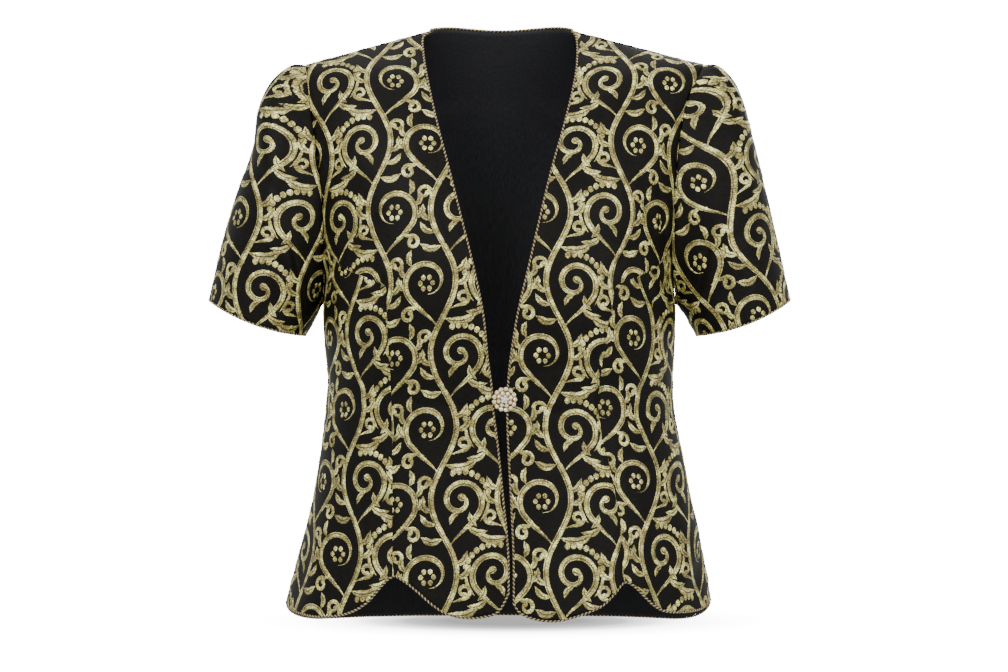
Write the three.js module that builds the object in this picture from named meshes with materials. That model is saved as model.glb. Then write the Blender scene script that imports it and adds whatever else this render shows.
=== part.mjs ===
// Collarless evening jacket with a deep V front, short gathered sleeves and a scalloped front hem.
// It keeps the form it has when it is worn: a hollow of cloth walls, open at neck, hem and sleeves.
// Millimetres. +Z is up, -Y is the front, +X is the wearer's left. The origin lies midway between
// the two points where the shoulder seams meet the neck, which is where the wearer carries it.
import * as THREE from 'three';

// ---- driving dimensions ----
const wall = 1.5; // brocade and its backing together
const liningWall = 1.0;
const seamGap = 0.3;
const seamShare = 0.18; // each of two pieces stands back this far from their seam
const cordRadius = 1.4; // twisted cord sewn along every edge
const cordSides = 6;
const trimWidth = 2 * cordRadius + seamGap; // cord and its gap, outside the cloth's edge
const underarm = 286; // depth of the underarm below the neck points
const shoulderDrop = 35; // fall of the shoulder seam from neck to sleeve
const shoulderY = 3; // front-back place of the sleeve end of the shoulder seam
const underarmY = 8; // front-back place of the side seams
const frontArmReach = 51; // how far the armhole's front edge swings forward
const backArmReach = 52;
const armholeSteps = 12;
const bodySteps = 14; // rows between underarm and hem
const neckShare = 0.4; // part of each half of the back that lies under the neckline
const neckBackY = 40; // centre back of the neckline
const neckRise = 3; // centre back stands this much over the neck points
const neckSwell = 2.5; // rise of the neckline halfway round to the back
const neckBlend = 70; // depth over which the back takes the neckline's shape
const dartColumn = 0.55; // place of the dart across a front
const dartDepth = 1.1;
const dartTop = 262; // the dart starts under the bust
const dartRun = 60; // stretch in which the dart reaches its full depth
const dartSpread = 0.02; // breadth of its groove, as a share of a front
const buttonRadius = 13.4;
const buttonHeight = 5.6;
const buttonX = 3.9;
const buttonZ = -384.6;
const buttonStand = 2.6; // from the cloth it is sewn to, out to its back
const buttonColumn = 0.025; // column of the left front that it is sewn to
const shankRadius = 1.6;
const cordEnd = 2.5; // a cord stops this far from the corner that another cord turns
const cordStart = 0.6;

const sides = [
  { name: 'right', sign: -1 },
  { name: 'left', sign: 1 },
];

// Front edge from the neck to the hem: outer line of its cord, measured from the centre line
// out towards its own side, and how far it stands forward.
const edgeLine = [
  { down: 0, right: 72, left: 73, forward: 2 },
  { down: 6, right: 79, left: 76.5, forward: 7 },
  { down: 22, right: 79, left: 77.5, forward: 22 },
  { down: 50, right: 74.5, left: 75, forward: 45 },
  { down: 100, right: 63.5, left: 63.5, forward: 75 },
  { down: 150, right: 50.5, left: 49.5, forward: 97 },
  { down: 200, right: 38, left: 37.5, forward: 111 },
  { down: 250, right: 25.5, left: 26, forward: 121.5 },
  { down: 300, right: 15.5, left: 14.5, forward: 124 },
  { down: 345, right: 11, left: 7.5, forward: 119 },
  { down: 370, right: 7.5, left: 5.2, forward: 114 },
  { down: 400, right: 5, left: 4.4, forward: 112 },
  { down: 430, right: 1.2, left: 5.2, forward: 112 },
  { down: 480, right: -4, left: 7.8, forward: 117 },
  { down: 540, right: -9.6, left: 10.6, forward: 123.7 },
  { down: 585, right: -10, left: 11, forward: 128 },
  { down: 640, right: -10, left: 11, forward: 132 },
];

// Side seams: half width on each side.
const sideLine = [
  { down: 286, right: 187, left: 183 },
  { down: 325, right: 185.5, left: 182.8 },
  { down: 368, right: 182, left: 180.8 },
  { down: 396, right: 184.2, left: 182 },
  { down: 420, right: 186.8, left: 186.2 },
  { down: 458, right: 192, left: 193.7 },
  { down: 495, right: 198.5, left: 200.3 },
  { down: 528, right: 206.8, left: 208.2 },
  { down: 560, right: 215.7, left: 214.6 },
  { down: 600, right: 226, left: 221.2 },
  { down: 640, right: 235, left: 229 },
];

// Armhole edges: distance from the centre line at each depth.
const frontArmLine = [
  { down: 35, right: 205, left: 213 },
  { down: 62, right: 201, left: 199 },
  { down: 85, right: 198, left: 191 },
  { down: 110, right: 194, left: 186.5 },
  { down: 150, right: 188, left: 182 },
  { down: 185, right: 185.5, left: 179.5 },
  { down: 230, right: 184.5, left: 178 },
  { down: 262, right: 185.5, left: 180 },
  { down: 286, right: 187, left: 183 },
];
const backArmLine = [
  { down: 35, right: 205, left: 213 },
  { down: 62, right: 199, left: 203 },
  { down: 100, right: 194, left: 196 },
  { down: 160, right: 189, left: 190 },
  { down: 222, right: 187, left: 186 },
  { down: 286, right: 187, left: 183 },
];

// Shape of each level of a front between its edge and its seam: two handles of a smooth curve,
// given as shares of the width and as depths. The first leads on from the edge.
const frontLevels = [
  { down: 0, inShare: 0.33, lead: 2, outShare: 0.67, outForward: -1.5 },
  { down: 40, inShare: 0.33, lead: -6, outShare: 0.67, outForward: 37 },
  { down: 72, inShare: 0.34, lead: -6, outShare: 0.7, outForward: 57 },
  { down: 143, inShare: 0.4, lead: -7, outShare: 0.8, outForward: 82 },
  { down: 215, inShare: 0.5, lead: -9, outShare: 0.88, outForward: 82 },
  { down: 286, inShare: 0.58, lead: -5, outShare: 1, outForward: 76 },
  { down: 330, inShare: 0.58, lead: -1, outShare: 1, outForward: 70 },
  { down: 370, inShare: 0.6, lead: 0, outShare: 1, outForward: 66 },
  { down: 430, inShare: 0.6, lead: 0, outShare: 1, outForward: 66 },
  { down: 500, inShare: 0.6, lead: 0, outShare: 1, outForward: 70 },
  { down: 560, inShare: 0.6, lead: 0, outShare: 1, outForward: 73 },
  { down: 640, inShare: 0.6, lead: 0, outShare: 1, outForward: 76 },
];
const backLevels = [
  { down: 0, centre: 40, inShare: 0.35, lead: 2, outShare: 0.67, outBack: 12 },
  { down: 40, centre: 64, inShare: 0.35, lead: 2, outShare: 0.67, outBack: 45 },
  { down: 72, centre: 79, inShare: 0.36, lead: 3, outShare: 0.7, outBack: 64 },
  { down: 143, centre: 97, inShare: 0.4, lead: 4, outShare: 0.82, outBack: 90 },
  { down: 215, centre: 104, inShare: 0.5, lead: 2, outShare: 0.94, outBack: 84 },
  { down: 286, centre: 103, inShare: 0.58, lead: 0, outShare: 1, outBack: 68 },
  { down: 330, centre: 96, inShare: 0.58, lead: 0, outShare: 1, outBack: 62 },
  { down: 370, centre: 88, inShare: 0.58, lead: 0, outShare: 1, outBack: 57 },
  { down: 430, centre: 98, inShare: 0.58, lead: 1, outShare: 1, outBack: 64 },
  { down: 500, centre: 113, inShare: 0.6, lead: 1, outShare: 1, outBack: 73 },
  { down: 560, centre: 120, inShare: 0.6, lead: 0, outShare: 1, outBack: 77 },
  { down: 640, centre: 126, inShare: 0.6, lead: 0, outShare: 1, outBack: 80 },
];

// The one long dart in each front, from the shoulder's middle down to the notch in the hem.
const dartLine = [
  { down: 0, right: 138, left: 140 },
  { down: 150, right: 124, left: 126 },
  { down: 262, right: 117, left: 117 },
  { down: 325, right: 114.8, left: 107 },
  { down: 385, right: 111.8, left: 99.5 },
  { down: 426, right: 111, left: 104 },
  { down: 460, right: 110.6, left: 112.5 },
  { down: 495, right: 110.4, left: 118.5 },
  { down: 575, right: 110, left: 125.7 },
  { down: 640, right: 109.5, left: 131 },
];

// Outline of the hem under each front: two scallops that meet in a notch on the dart.
const hemLines = {
  right: [
    { across: -10, down: 577 }, { across: 2, down: 600 }, { across: 18, down: 606.5 },
    { across: 37, down: 607.5 }, { across: 56, down: 603 }, { across: 70, down: 594 },
    { across: 85, down: 581 }, { across: 99, down: 571 }, { across: 110, down: 566.5 },
    { across: 122, down: 577 }, { across: 135, down: 592.5 }, { across: 152, down: 603.5 },
    { across: 174, down: 609.5 }, { across: 196, down: 610.5 }, { across: 217, down: 607 },
    { across: 226, down: 601.5 },
  ],
  left: [
    { across: 11, down: 587 }, { across: 18, down: 600.5 }, { across: 34, down: 608.5 },
    { across: 55, down: 611 }, { across: 73, down: 607.5 }, { across: 91, down: 601.5 },
    { across: 104, down: 595 }, { across: 116, down: 583.5 }, { across: 125.7, down: 573 },
    { across: 135, down: 576.5 }, { across: 146, down: 587 }, { across: 157, down: 597 },
    { across: 168, down: 603.5 }, { across: 184, down: 606 }, { across: 203, down: 605.5 },
    { across: 214, down: 602.5 }, { across: 221, down: 598 },
  ],
};
const backHemDown = 625.5; // level hem of the back, which curves up to the side seams
const backHemRun = 90; // stretch beside each side seam in which it curves
const backHemEase = 1.7; // how late in that stretch it turns up
const sideHem = { right: 601.5, left: 598 };

// Sleeves: outer line and underarm line seen from the front, and the half depth of each ring.
const sleeveLevels = [
  { step: 0, rightOut: 205, leftOut: 213, outDown: 35, under: 185, underDown: 286, depth: 51.5, round: 1 },
  { step: 1, rightOut: 222, leftOut: 229, outDown: 37, under: 189, underDown: 291, depth: 57, round: 0.94 },
  { step: 2, rightOut: 242, leftOut: 246, outDown: 54, under: 192, underDown: 296, depth: 63, round: 0.88 },
  { step: 3, rightOut: 255, leftOut: 257, outDown: 82, under: 195, underDown: 301, depth: 67, round: 0.86 },
  { step: 4, rightOut: 260, leftOut: 267, outDown: 121, under: 197.5, underDown: 306, depth: 69, round: 0.88 },
  { step: 5, rightOut: 276, leftOut: 278, outDown: 166, under: 200, underDown: 311, depth: 68, round: 0.92 },
  { step: 6, rightOut: 293, leftOut: 291, outDown: 222, under: 202.5, underDown: 315, depth: 65.5, round: 0.96 },
  { step: 7, rightOut: 307, leftOut: 304, outDown: 281, under: 205, underDown: 319, depth: 63, round: 1 },
];
const sleeveMiddleY = 7;
const sleeveRings = [0, 0.5, 1.1, 1.8, 2.6, 3.5, 4.4, 5.3, 6.2, 7];
const gatherSteps = 4; // armhole steps beside the shoulder that carry gathers
const gatherParts = 4; // ring points in each of them
const gatherWidth = 3.4; // degrees
const gatherRise = 0.8; // ring steps in which a gather reaches its full lift
const headRun = 3; // ring steps in which the sleeve leaves the armhole's own outline
const cuffBow = 7; // the cuff hangs this much lower at its front and back
const cuffBowFrom = 4.5; // ring step where it starts to

// Gathers of the sleeve head, counted from the shoulder point down the front; the back is alike.
const gathers = [
  { turn: 4, lift: 2.4, run: 3.2 },
  { turn: 13, lift: 1.7, run: 2.3 },
  { turn: 21, lift: 2.6, run: 3.5 },
  { turn: 30, lift: 1.9, run: 2.6 },
  { turn: 39, lift: 2.3, run: 3.1 },
  { turn: 49, lift: 1.4, run: 2.1 },
];

// The largest folds of the cloth: soft troughs, with their lean from level.
const frontFolds = [
  { side: 'right', across: 147, down: 214, run: 24, spread: 10, depth: 2.2, lean: 25 },
  { side: 'left', across: 166, down: 222, run: 46, spread: 10, depth: 3, lean: 82 },
  { side: 'left', across: 130, down: 240, run: 24, spread: 9, depth: 2.2, lean: -40 },
];
const sleeveFolds = [
  { side: 'right', turn: 118, step: 5.9, run: 30, spread: 0.55, depth: 3, slope: -0.022 },
  { side: 'left', turn: 112, step: 5.2, run: 26, spread: 0.5, depth: 2.4, slope: -0.03 },
];

const frontColumns = [0, 0.025, 0.07, 0.14, 0.22, 0.3, 0.38, 0.45, 0.51, dartColumn,
  0.59, 0.65, 0.72, 0.79, 0.86, 0.92, 0.965, 1];
const backHalf = [0, 0.12, 0.24, 0.32, 0.37, neckShare, 0.5, 0.6, 0.7, 0.8, 0.88, 0.95, 1];

const brocade = new THREE.MeshStandardMaterial({ color: 0x5e5835, roughness: 0.5, metalness: 0.25 });
const liningCloth = new THREE.MeshStandardMaterial({ color: 0x1d1d21, roughness: 0.6, metalness: 0 });
const goldCord = new THREE.MeshStandardMaterial({ color: 0xb49a63, roughness: 0.45, metalness: 0.5 });
const paste = new THREE.MeshStandardMaterial({ color: 0xd8cfb4, roughness: 0.15, metalness: 0.6 });

// ---- curves ----

// Smooth curve through one column of a table, against its key column.
function follow(table, key, column, at) {
  let i = 0;
  while (i < table.length - 2 && at > table[i + 1][key]) i++;
  const slope = (j) => {
    const before = table[Math.max(j - 1, 0)];
    const after = table[Math.min(j + 1, table.length - 1)];
    return (after[column] - before[column]) / (after[key] - before[key]);
  };
  const start = table[i];
  const end = table[i + 1];
  const span = end[key] - start[key];
  const q = THREE.MathUtils.clamp((at - start[key]) / span, 0, 1);
  const rise = q * q * (3 - 2 * q);
  const leave = q * (1 - q) * (1 - q) * span * slope(i);
  const arrive = q * q * (q - 1) * span * slope(i + 1);
  return start[column] + (end[column] - start[column]) * rise + leave + arrive;
}

function bell(distance, spread) {
  return Math.exp(-((distance / spread) ** 2));
}

// ---- the body's lines ----

function edgePoint(side, down) {
  const across = follow(edgeLine, 'down', side.name, down) + trimWidth;
  return new THREE.Vector3(side.sign * across, -follow(edgeLine, 'down', 'forward', down), -down);
}

// A point of the armhole, by the share of the way from the shoulder to the underarm.
function armholePoint(side, table, reach, share) {
  const turn = Math.PI * share;
  const down = shoulderDrop + ((underarm - shoulderDrop) * (1 - Math.cos(turn))) / 2;
  const y = THREE.MathUtils.lerp(shoulderY, underarmY, share) + reach * Math.sin(turn);
  return new THREE.Vector3(side.sign * follow(table, 'down', side.name, down), y, -down);
}

function frontSeamPoint(side, down) {
  if (down < underarm) return armholePoint(side, frontArmLine, -frontArmReach, down / underarm);
  return new THREE.Vector3(side.sign * follow(sideLine, 'down', side.name, down), underarmY, -down);
}

function backSeamPoint(side, down) {
  if (down < underarm) return armholePoint(side, backArmLine, backArmReach, down / underarm);
  return frontSeamPoint(side, down);
}

// One level of the cloth, from its inner end to its seam.
function levelCurve(start, end, innerY, outerY, inShare, outShare) {
  const inner = start.clone().lerp(end, 1 / 3);
  const outer = start.clone().lerp(end, 2 / 3);
  inner.x = THREE.MathUtils.lerp(start.x, end.x, inShare);
  outer.x = THREE.MathUtils.lerp(start.x, end.x, outShare);
  inner.y = innerY;
  outer.y = outerY;
  return new THREE.CubicBezierCurve3(start, inner, outer, end);
}

function frontLevel(side, down) {
  const pick = (column) => follow(frontLevels, 'down', column, down);
  const start = edgePoint(side, down);
  const end = frontSeamPoint(side, down);
  return levelCurve(start, end, start.y + pick('lead'), -pick('outForward'),
    pick('inShare'), pick('outShare'));
}

function backLevel(side, down) {
  const pick = (column) => follow(backLevels, 'down', column, down);
  const start = new THREE.Vector3(0, pick('centre'), -down);
  const end = backSeamPoint(side, down);
  return levelCurve(start, end, start.y + pick('lead'), pick('outBack'),
    pick('inShare'), pick('outShare'));
}

// ---- fronts ----

// Where a level crosses the line of the dart.
function dartShare(side, curve, down) {
  const target = follow(dartLine, 'down', side.name, down);
  let low = 0;
  let high = 1;
  for (let i = 0; i < 24; i++) {
    const middle = (low + high) / 2;
    if (side.sign * curve.getPoint(middle).x < target) low = middle;
    else high = middle;
  }
  return low;
}

function frontPoint(side, column, down) {
  const curve = frontLevel(side, down);
  const split = dartShare(side, curve, down);
  const inner = column < dartColumn;
  const share = inner
    ? (column / dartColumn) * split
    : split + ((column - dartColumn) / (1 - dartColumn)) * (1 - split);
  const point = curve.getPoint(share);
  const start = THREE.MathUtils.smoothstep(down, dartTop, dartTop + dartRun);
  point.y += dartDepth * start * bell(column - dartColumn, dartSpread);
  for (const fold of frontFolds) {
    if (fold.side !== side.name) continue;
    const lean = THREE.MathUtils.degToRad(fold.lean);
    const x = side.sign * point.x - fold.across;
    const z = -point.z - fold.down;
    const along = x * Math.cos(lean) + z * Math.sin(lean);
    const off = z * Math.cos(lean) - x * Math.sin(lean);
    point.y += fold.depth * bell(along, fold.run) * bell(off, fold.spread);
  }
  return point;
}

function frontHemDown(side, column) {
  let down = backHemDown;
  for (let i = 0; i < 3; i++) {
    const across = side.sign * frontPoint(side, column, down).x;
    down = follow(hemLines[side.name], 'across', 'down', across) - trimWidth;
  }
  return column === 1 ? sideHem[side.name] - trimWidth : down;
}

// Rows run from the shoulder to the underarm level, then on to the hem.
function rowDown(row, hemDown) {
  if (row <= armholeSteps) return (underarm * row) / armholeSteps;
  return underarm + ((hemDown - underarm) * (row - armholeSteps)) / bodySteps;
}

function frontGrid(side) {
  return frontColumns.map((column) => {
    const hemDown = frontHemDown(side, column);
    const points = [];
    for (let row = 0; row <= armholeSteps + bodySteps; row++) {
      points.push(frontPoint(side, column, rowDown(row, hemDown)));
    }
    return points;
  });
}

// ---- back ----

// Top of the back: half the neckline, then the shoulder seam.
function backTopPoint(side, share) {
  const neck = edgePoint(side, 0);
  if (share > neckShare) {
    return neck.lerp(frontSeamPoint(side, 0), (share - neckShare) / (1 - neckShare));
  }
  const q = share / neckShare;
  const turn = (Math.PI / 2) * q;
  const rise = neckRise * (1 - q ** 4) + neckSwell * Math.sin(Math.PI * q) ** 2;
  return new THREE.Vector3(
    neck.x * Math.sin(turn),
    neck.y + (neckBackY - neck.y) * Math.cos(turn),
    neck.z + rise,
  );
}

function backPoint(side, share, down) {
  const point = backLevel(side, down).getPoint(share);
  const blend = Math.max(0, 1 - down / neckBlend) ** 2;
  if (blend === 0) return point;
  const shift = backTopPoint(side, share).sub(backLevel(side, 0).getPoint(share));
  return point.addScaledVector(shift, blend);
}

function backHem(side, share) {
  const width = follow(sideLine, 'down', side.name, backHemDown);
  const near = Math.max(0, 1 - (width * (1 - share)) / backHemRun);
  return backHemDown - trimWidth - (backHemDown - sideHem[side.name]) * near ** backHemEase;
}

function backGrid() {
  const stations = [];
  for (const share of [...backHalf].reverse()) stations.push({ side: sides[0], share });
  for (const share of backHalf.slice(1)) stations.push({ side: sides[1], share });
  return stations.map(({ side, share }) => {
    const hemDown = backHem(side, share);
    const points = [];
    for (let row = 0; row <= armholeSteps + bodySteps; row++) {
      points.push(backPoint(side, share, rowDown(row, hemDown)));
    }
    return points;
  });
}

// ---- sleeves ----

// Ring stations: armhole steps down the front, then up the back, finer where the head is gathered.
function ringStations() {
  const stations = [];
  for (let step = 0; step < armholeSteps; step++) {
    const parts = step < gatherSteps ? gatherParts : 1;
    for (let part = 0; part < parts; part++) stations.push({ step, part: part / parts });
  }
  for (let step = armholeSteps; step > 0; step--) {
    const parts = step <= gatherSteps ? gatherParts : 1;
    for (let part = 0; part < parts; part++) {
      const from = step - part / parts;
      stations.push({ step: Math.floor(from), part: from - Math.floor(from), back: true });
    }
  }
  return stations;
}

// The armhole's straight steps, so that sleeve and body share one line.
function armholeStep(side, station) {
  const table = station.back ? backArmLine : frontArmLine;
  const reach = station.back ? backArmReach : -frontArmReach;
  const here = armholePoint(side, table, reach, station.step / armholeSteps);
  if (station.part === 0) return here;
  return here.lerp(armholePoint(side, table, reach, (station.step + 1) / armholeSteps), station.part);
}

function ringPoint(side, turn, step) {
  const pick = (column) => follow(sleeveLevels, 'step', column, step);
  const outX = pick(`${side.name}Out`);
  const middleX = (outX + pick('under')) / 2;
  const middleDown = (pick('outDown') + pick('underDown')) / 2;
  const swing = Math.cos(turn);
  const bow = -Math.sign(Math.sin(turn)) * Math.abs(Math.sin(turn)) ** pick('round');
  const near = THREE.MathUtils.smoothstep(step, cuffBowFrom, sleeveLevels.length - 1);
  const hang = cuffBow * near * Math.sin(turn) ** 2;
  return new THREE.Vector3(
    side.sign * (middleX + (outX - middleX) * swing),
    sleeveMiddleY + pick('depth') * bow,
    -(middleDown + (pick('outDown') - middleDown) * swing + hang),
  );
}

function gatherLift(turn, step) {
  let lift = 0;
  for (const gather of gathers) {
    const fade = Math.min(1, step / gatherRise) * Math.max(0, 1 - step / gather.run);
    const off = THREE.MathUtils.radToDeg(Math.min(turn, 2 * Math.PI - turn)) - gather.turn;
    lift += gather.lift * fade * bell(off, gatherWidth);
  }
  return lift;
}

function sleeveDip(side, turn, step) {
  let dip = 0;
  for (const fold of sleeveFolds) {
    if (fold.side !== side.name) continue;
    const off = THREE.MathUtils.radToDeg(turn) - fold.turn;
    dip += fold.depth * bell(off, fold.run) * bell(step - fold.step - off * fold.slope, fold.spread);
  }
  return dip;
}

function sleeveGrid(side) {
  return ringStations().map((station) => {
    const share = (station.step + station.part) / armholeSteps;
    const turn = station.back ? 2 * Math.PI - Math.PI * share : Math.PI * share;
    const start = armholeStep(side, station);
    const offset = start.clone().sub(ringPoint(side, turn, 0));
    return sleeveRings.map((step) => {
      if (step === 0) return start.clone();
      const point = ringPoint(side, turn, step);
      const middle = ringPoint(side, 0, step).lerp(ringPoint(side, Math.PI, step), 0.5);
      point.addScaledVector(offset, Math.max(0, 1 - step / headRun) ** 2);
      const out = point.clone().sub(middle).normalize();
      return point.addScaledVector(out, gatherLift(turn, step) - sleeveDip(side, turn, step));
    });
  });
}

// ---- walls ----

// Outward normals of a grid of points, columns first.
function gridNormals(grid, outward, closed) {
  const columns = grid.length;
  const rows = grid[0].length;
  const around = (i) => (closed ? (i + columns) % columns : THREE.MathUtils.clamp(i, 0, columns - 1));
  const down = (j) => THREE.MathUtils.clamp(j, 0, rows - 1);
  return grid.map((column, i) => column.map((_, j) => {
    const across = grid[around(i + 1)][j].clone().sub(grid[around(i - 1)][j]);
    const along = grid[i][down(j + 1)].clone().sub(grid[i][down(j - 1)]);
    return across.cross(along).multiplyScalar(outward).normalize();
  }));
}

// Moves the edge of a piece off the seam's own surface, towards the piece.
function standBack(edge, normals, inner) {
  const moves = edge.map((point, i) => {
    const along = edge[Math.min(i + 1, edge.length - 1)].clone().sub(edge[Math.max(i - 1, 0)]);
    const off = along.cross(normals[i]).normalize();
    const towards = inner[i].clone().sub(point);
    return off.multiplyScalar(off.dot(towards) < 0 ? -seamShare : seamShare);
  });
  edge.forEach((point, i) => point.add(moves[i]));
}

// Closed wall between an outer grid and the same grid moved in along its normals.
function wallMesh(name, material, grid, normals, outward, closed, near, far) {
  const columns = grid.length;
  const rows = grid[0].length;
  const positions = [];
  for (const depth of [near, far]) {
    grid.forEach((column, i) => column.forEach((point, j) => {
      positions.push(...point.clone().addScaledVector(normals[i][j], -depth).toArray());
    }));
  }
  const at = (layer, i, j) => layer * columns * rows + (i % columns) * rows + j;
  const index = [];
  const quad = (a, b, c, d) => {
    if (outward > 0) index.push(a, c, b, a, d, c);
    else index.push(a, b, c, a, c, d);
  };
  const lastColumn = closed ? columns : columns - 1;
  for (let i = 0; i < lastColumn; i++) {
    for (let j = 0; j < rows - 1; j++) {
      quad(at(0, i, j), at(0, i, j + 1), at(0, i + 1, j + 1), at(0, i + 1, j));
      quad(at(1, i, j), at(1, i + 1, j), at(1, i + 1, j + 1), at(1, i, j + 1));
    }
    quad(at(0, i, 0), at(0, i + 1, 0), at(1, i + 1, 0), at(1, i, 0));
    const last = rows - 1;
    quad(at(0, i, last), at(1, i, last), at(1, i + 1, last), at(0, i + 1, last));
  }
  if (!closed) {
    const end = columns - 1;
    for (let j = 0; j < rows - 1; j++) {
      quad(at(0, 0, j), at(1, 0, j), at(1, 0, j + 1), at(0, 0, j + 1));
      quad(at(0, end, j), at(0, end, j + 1), at(1, end, j + 1), at(1, end, j));
    }
  }
  return bodyMesh(name, material, positions, index);
}

function bodyMesh(name, material, positions, index) {
  const geometry = new THREE.BufferGeometry();
  geometry.setAttribute('position', new THREE.Float32BufferAttribute(positions, 3));
  geometry.setIndex(index);
  geometry.computeVertexNormals();
  const mesh = new THREE.Mesh(geometry, material);
  mesh.name = name;
  return mesh;
}

// ---- cords ----

// A cord along the edge of a wall: its stations give a point of the edge, the cloth's normal
// there and the direction that leaves the cloth.
function cordMesh(name, stations, side, closed) {
  const positions = [];
  for (const { edge, normal, away } of stations) {
    const centre = edge.clone().addScaledVector(away, cordRadius + seamGap)
      .addScaledVector(normal, -wall / 2);
    for (let k = 0; k < cordSides; k++) {
      const turn = (side * 2 * Math.PI * k) / cordSides;
      positions.push(...centre.clone().addScaledVector(away, cordRadius * Math.cos(turn))
        .addScaledVector(normal, cordRadius * Math.sin(turn)).toArray());
    }
  }
  const count = stations.length;
  const at = (i, k) => (i % count) * cordSides + (k % cordSides);
  const index = [];
  const last = closed ? count : count - 1;
  for (let i = 0; i < last; i++) {
    for (let k = 0; k < cordSides; k++) {
      index.push(at(i, k), at(i + 1, k), at(i + 1, k + 1), at(i, k), at(i + 1, k + 1), at(i, k + 1));
    }
  }
  if (!closed) {
    for (let k = 1; k < cordSides - 1; k++) {
      index.push(at(0, 0), at(0, k), at(0, k + 1));
      index.push(at(count - 1, 0), at(count - 1, k + 1), at(count - 1, k));
    }
  }
  return bodyMesh(name, goldCord, positions, index);
}

// Stations along an edge; the turn tells on which side of the edge the cord lies.
function cordStations(edges, normals, side, closed) {
  const count = edges.length;
  return edges.map((edge, i) => {
    const before = edges[closed ? (i + count - 1) % count : Math.max(i - 1, 0)];
    const after = edges[closed ? (i + 1) % count : Math.min(i + 1, count - 1)];
    const along = after.clone().sub(before).normalize();
    const away = along.cross(normals[i]).multiplyScalar(side).normalize();
    const normal = away.clone().cross(after.clone().sub(before)).normalize().multiplyScalar(side);
    return { edge, normal, away };
  });
}

// Cuts a cord's ends back, so that it stays clear of the cord round the corner.
function shorten(stations, atStart, atEnd) {
  const move = (from, to, length) => {
    const step = to.edge.clone().sub(from.edge);
    from.edge = from.edge.clone().add(step.setLength(Math.min(length, step.length() * 0.8)));
  };
  if (atStart > 0) move(stations[0], stations[1], atStart);
  if (atEnd > 0) move(stations[stations.length - 1], stations[stations.length - 2], atEnd);
  return stations;
}

// ---- assembly ----

const jacket = new THREE.Group();
const lastFront = frontColumns.length - 1;
const fronts = {};
const sleeves = {};
for (const side of sides) {
  const grid = frontGrid(side);
  fronts[side.name] = { grid, normals: gridNormals(grid, -side.sign, false) };
  const sleeve = sleeveGrid(side);
  sleeves[side.name] = { grid: sleeve, normals: gridNormals(sleeve, side.sign, true) };
}
const back = { grid: backGrid() };
back.normals = gridNormals(back.grid, 1, false);
const lastBack = back.grid.length - 1;

// Sleeve and body share one normal at each armhole step, so that their walls meet in a mitre.
function shareNormals(side) {
  const front = fronts[side.name];
  const sleeve = sleeves[side.name];
  const backColumn = side.sign < 0 ? 0 : lastBack;
  const stations = ringStations();
  const shared = { front: [], back: [] };
  stations.forEach((station, i) => {
    if (station.part !== 0) return;
    const body = station.back ? back.normals[backColumn] : front.normals[lastFront];
    const both = body[station.step].clone().add(sleeve.normals[i][0]);
    if (station.step === armholeSteps) both.add(front.normals[lastFront][armholeSteps]);
    shared[station.back ? 'back' : 'front'][station.step] = both.normalize();
  });
  shared.front[armholeSteps] = shared.back[armholeSteps];
  const shoulder = front.normals[lastFront][0].clone().add(back.normals[backColumn][0]);
  shared.front[0] = shoulder.add(sleeve.normals[0][0]).normalize();
  shared.back[0] = shared.front[0];
  for (let row = 0; row <= armholeSteps; row++) {
    front.normals[lastFront][row].copy(shared.front[row]);
    back.normals[backColumn][row].copy(shared.back[row]);
  }
  stations.forEach((station, i) => {
    const list = station.back ? shared.back : shared.front;
    const here = list[station.step].clone();
    if (station.part > 0) here.lerp(list[station.step + 1], station.part);
    sleeve.normals[i][0].copy(here.normalize());
  });
}

// Front and back share the normals of the side seam and of the shoulder seam.
function shareSeams(side) {
  const front = fronts[side.name];
  const backColumn = side.sign < 0 ? 0 : lastBack;
  for (let row = armholeSteps + 1; row < front.grid[0].length; row++) {
    const both = front.normals[lastFront][row].clone().add(back.normals[backColumn][row]).normalize();
    front.normals[lastFront][row].copy(both);
    back.normals[backColumn][row].copy(both);
  }
  const lineNormal = shoulderNormal(side);
  for (let i = 0; i < lastFront; i++) front.normals[i][0].copy(lineNormal);
  const centre = backHalf.length - 1;
  for (let i = 0; i < backHalf.length - 1; i++) {
    if (backHalf[i] < neckShare) continue;
    back.normals[centre + side.sign * i][0].copy(lineNormal);
  }
}

function shoulderNormal(side) {
  const run = frontSeamPoint(side, 0).sub(edgePoint(side, 0)).normalize();
  const up = new THREE.Vector3(0, 0, 1);
  return up.addScaledVector(run, -up.dot(run)).normalize();
}

function standBackFromSeams(side) {
  const front = fronts[side.name];
  const sleeve = sleeves[side.name];
  const column = side.sign < 0 ? 0 : lastBack;
  const next = column + (side.sign < 0 ? 1 : -1);
  const runs = [[0, armholeSteps + 1], [armholeSteps, front.grid[0].length]];
  const centre = backHalf.length - 1;
  const shoulder = backHalf.map((_, i) => i).filter((i) => backHalf[i] >= neckShare)
    .map((i) => centre + side.sign * i);
  for (const [from, to] of runs) {
    standBack(front.grid[lastFront].slice(from, to), front.normals[lastFront].slice(from, to),
      front.grid[lastFront - 1].slice(from, to));
    standBack(back.grid[column].slice(from, to), back.normals[column].slice(from, to),
      back.grid[next].slice(from, to));
  }
  standBack(front.grid.map((line) => line[0]), front.normals.map((line) => line[0]),
    front.grid.map((line) => line[1]));
  standBack(shoulder.map((i) => back.grid[i][0]), shoulder.map((i) => back.normals[i][0]),
    shoulder.map((i) => back.grid[i][1]));
  standBack(sleeve.grid.map((line) => line[0]), sleeve.normals.map((line) => line[0]),
    sleeve.grid.map((line) => line[1]));
}

for (const side of sides) {
  shareNormals(side);
  shareSeams(side);
}
for (const side of sides) standBackFromSeams(side);

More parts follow.
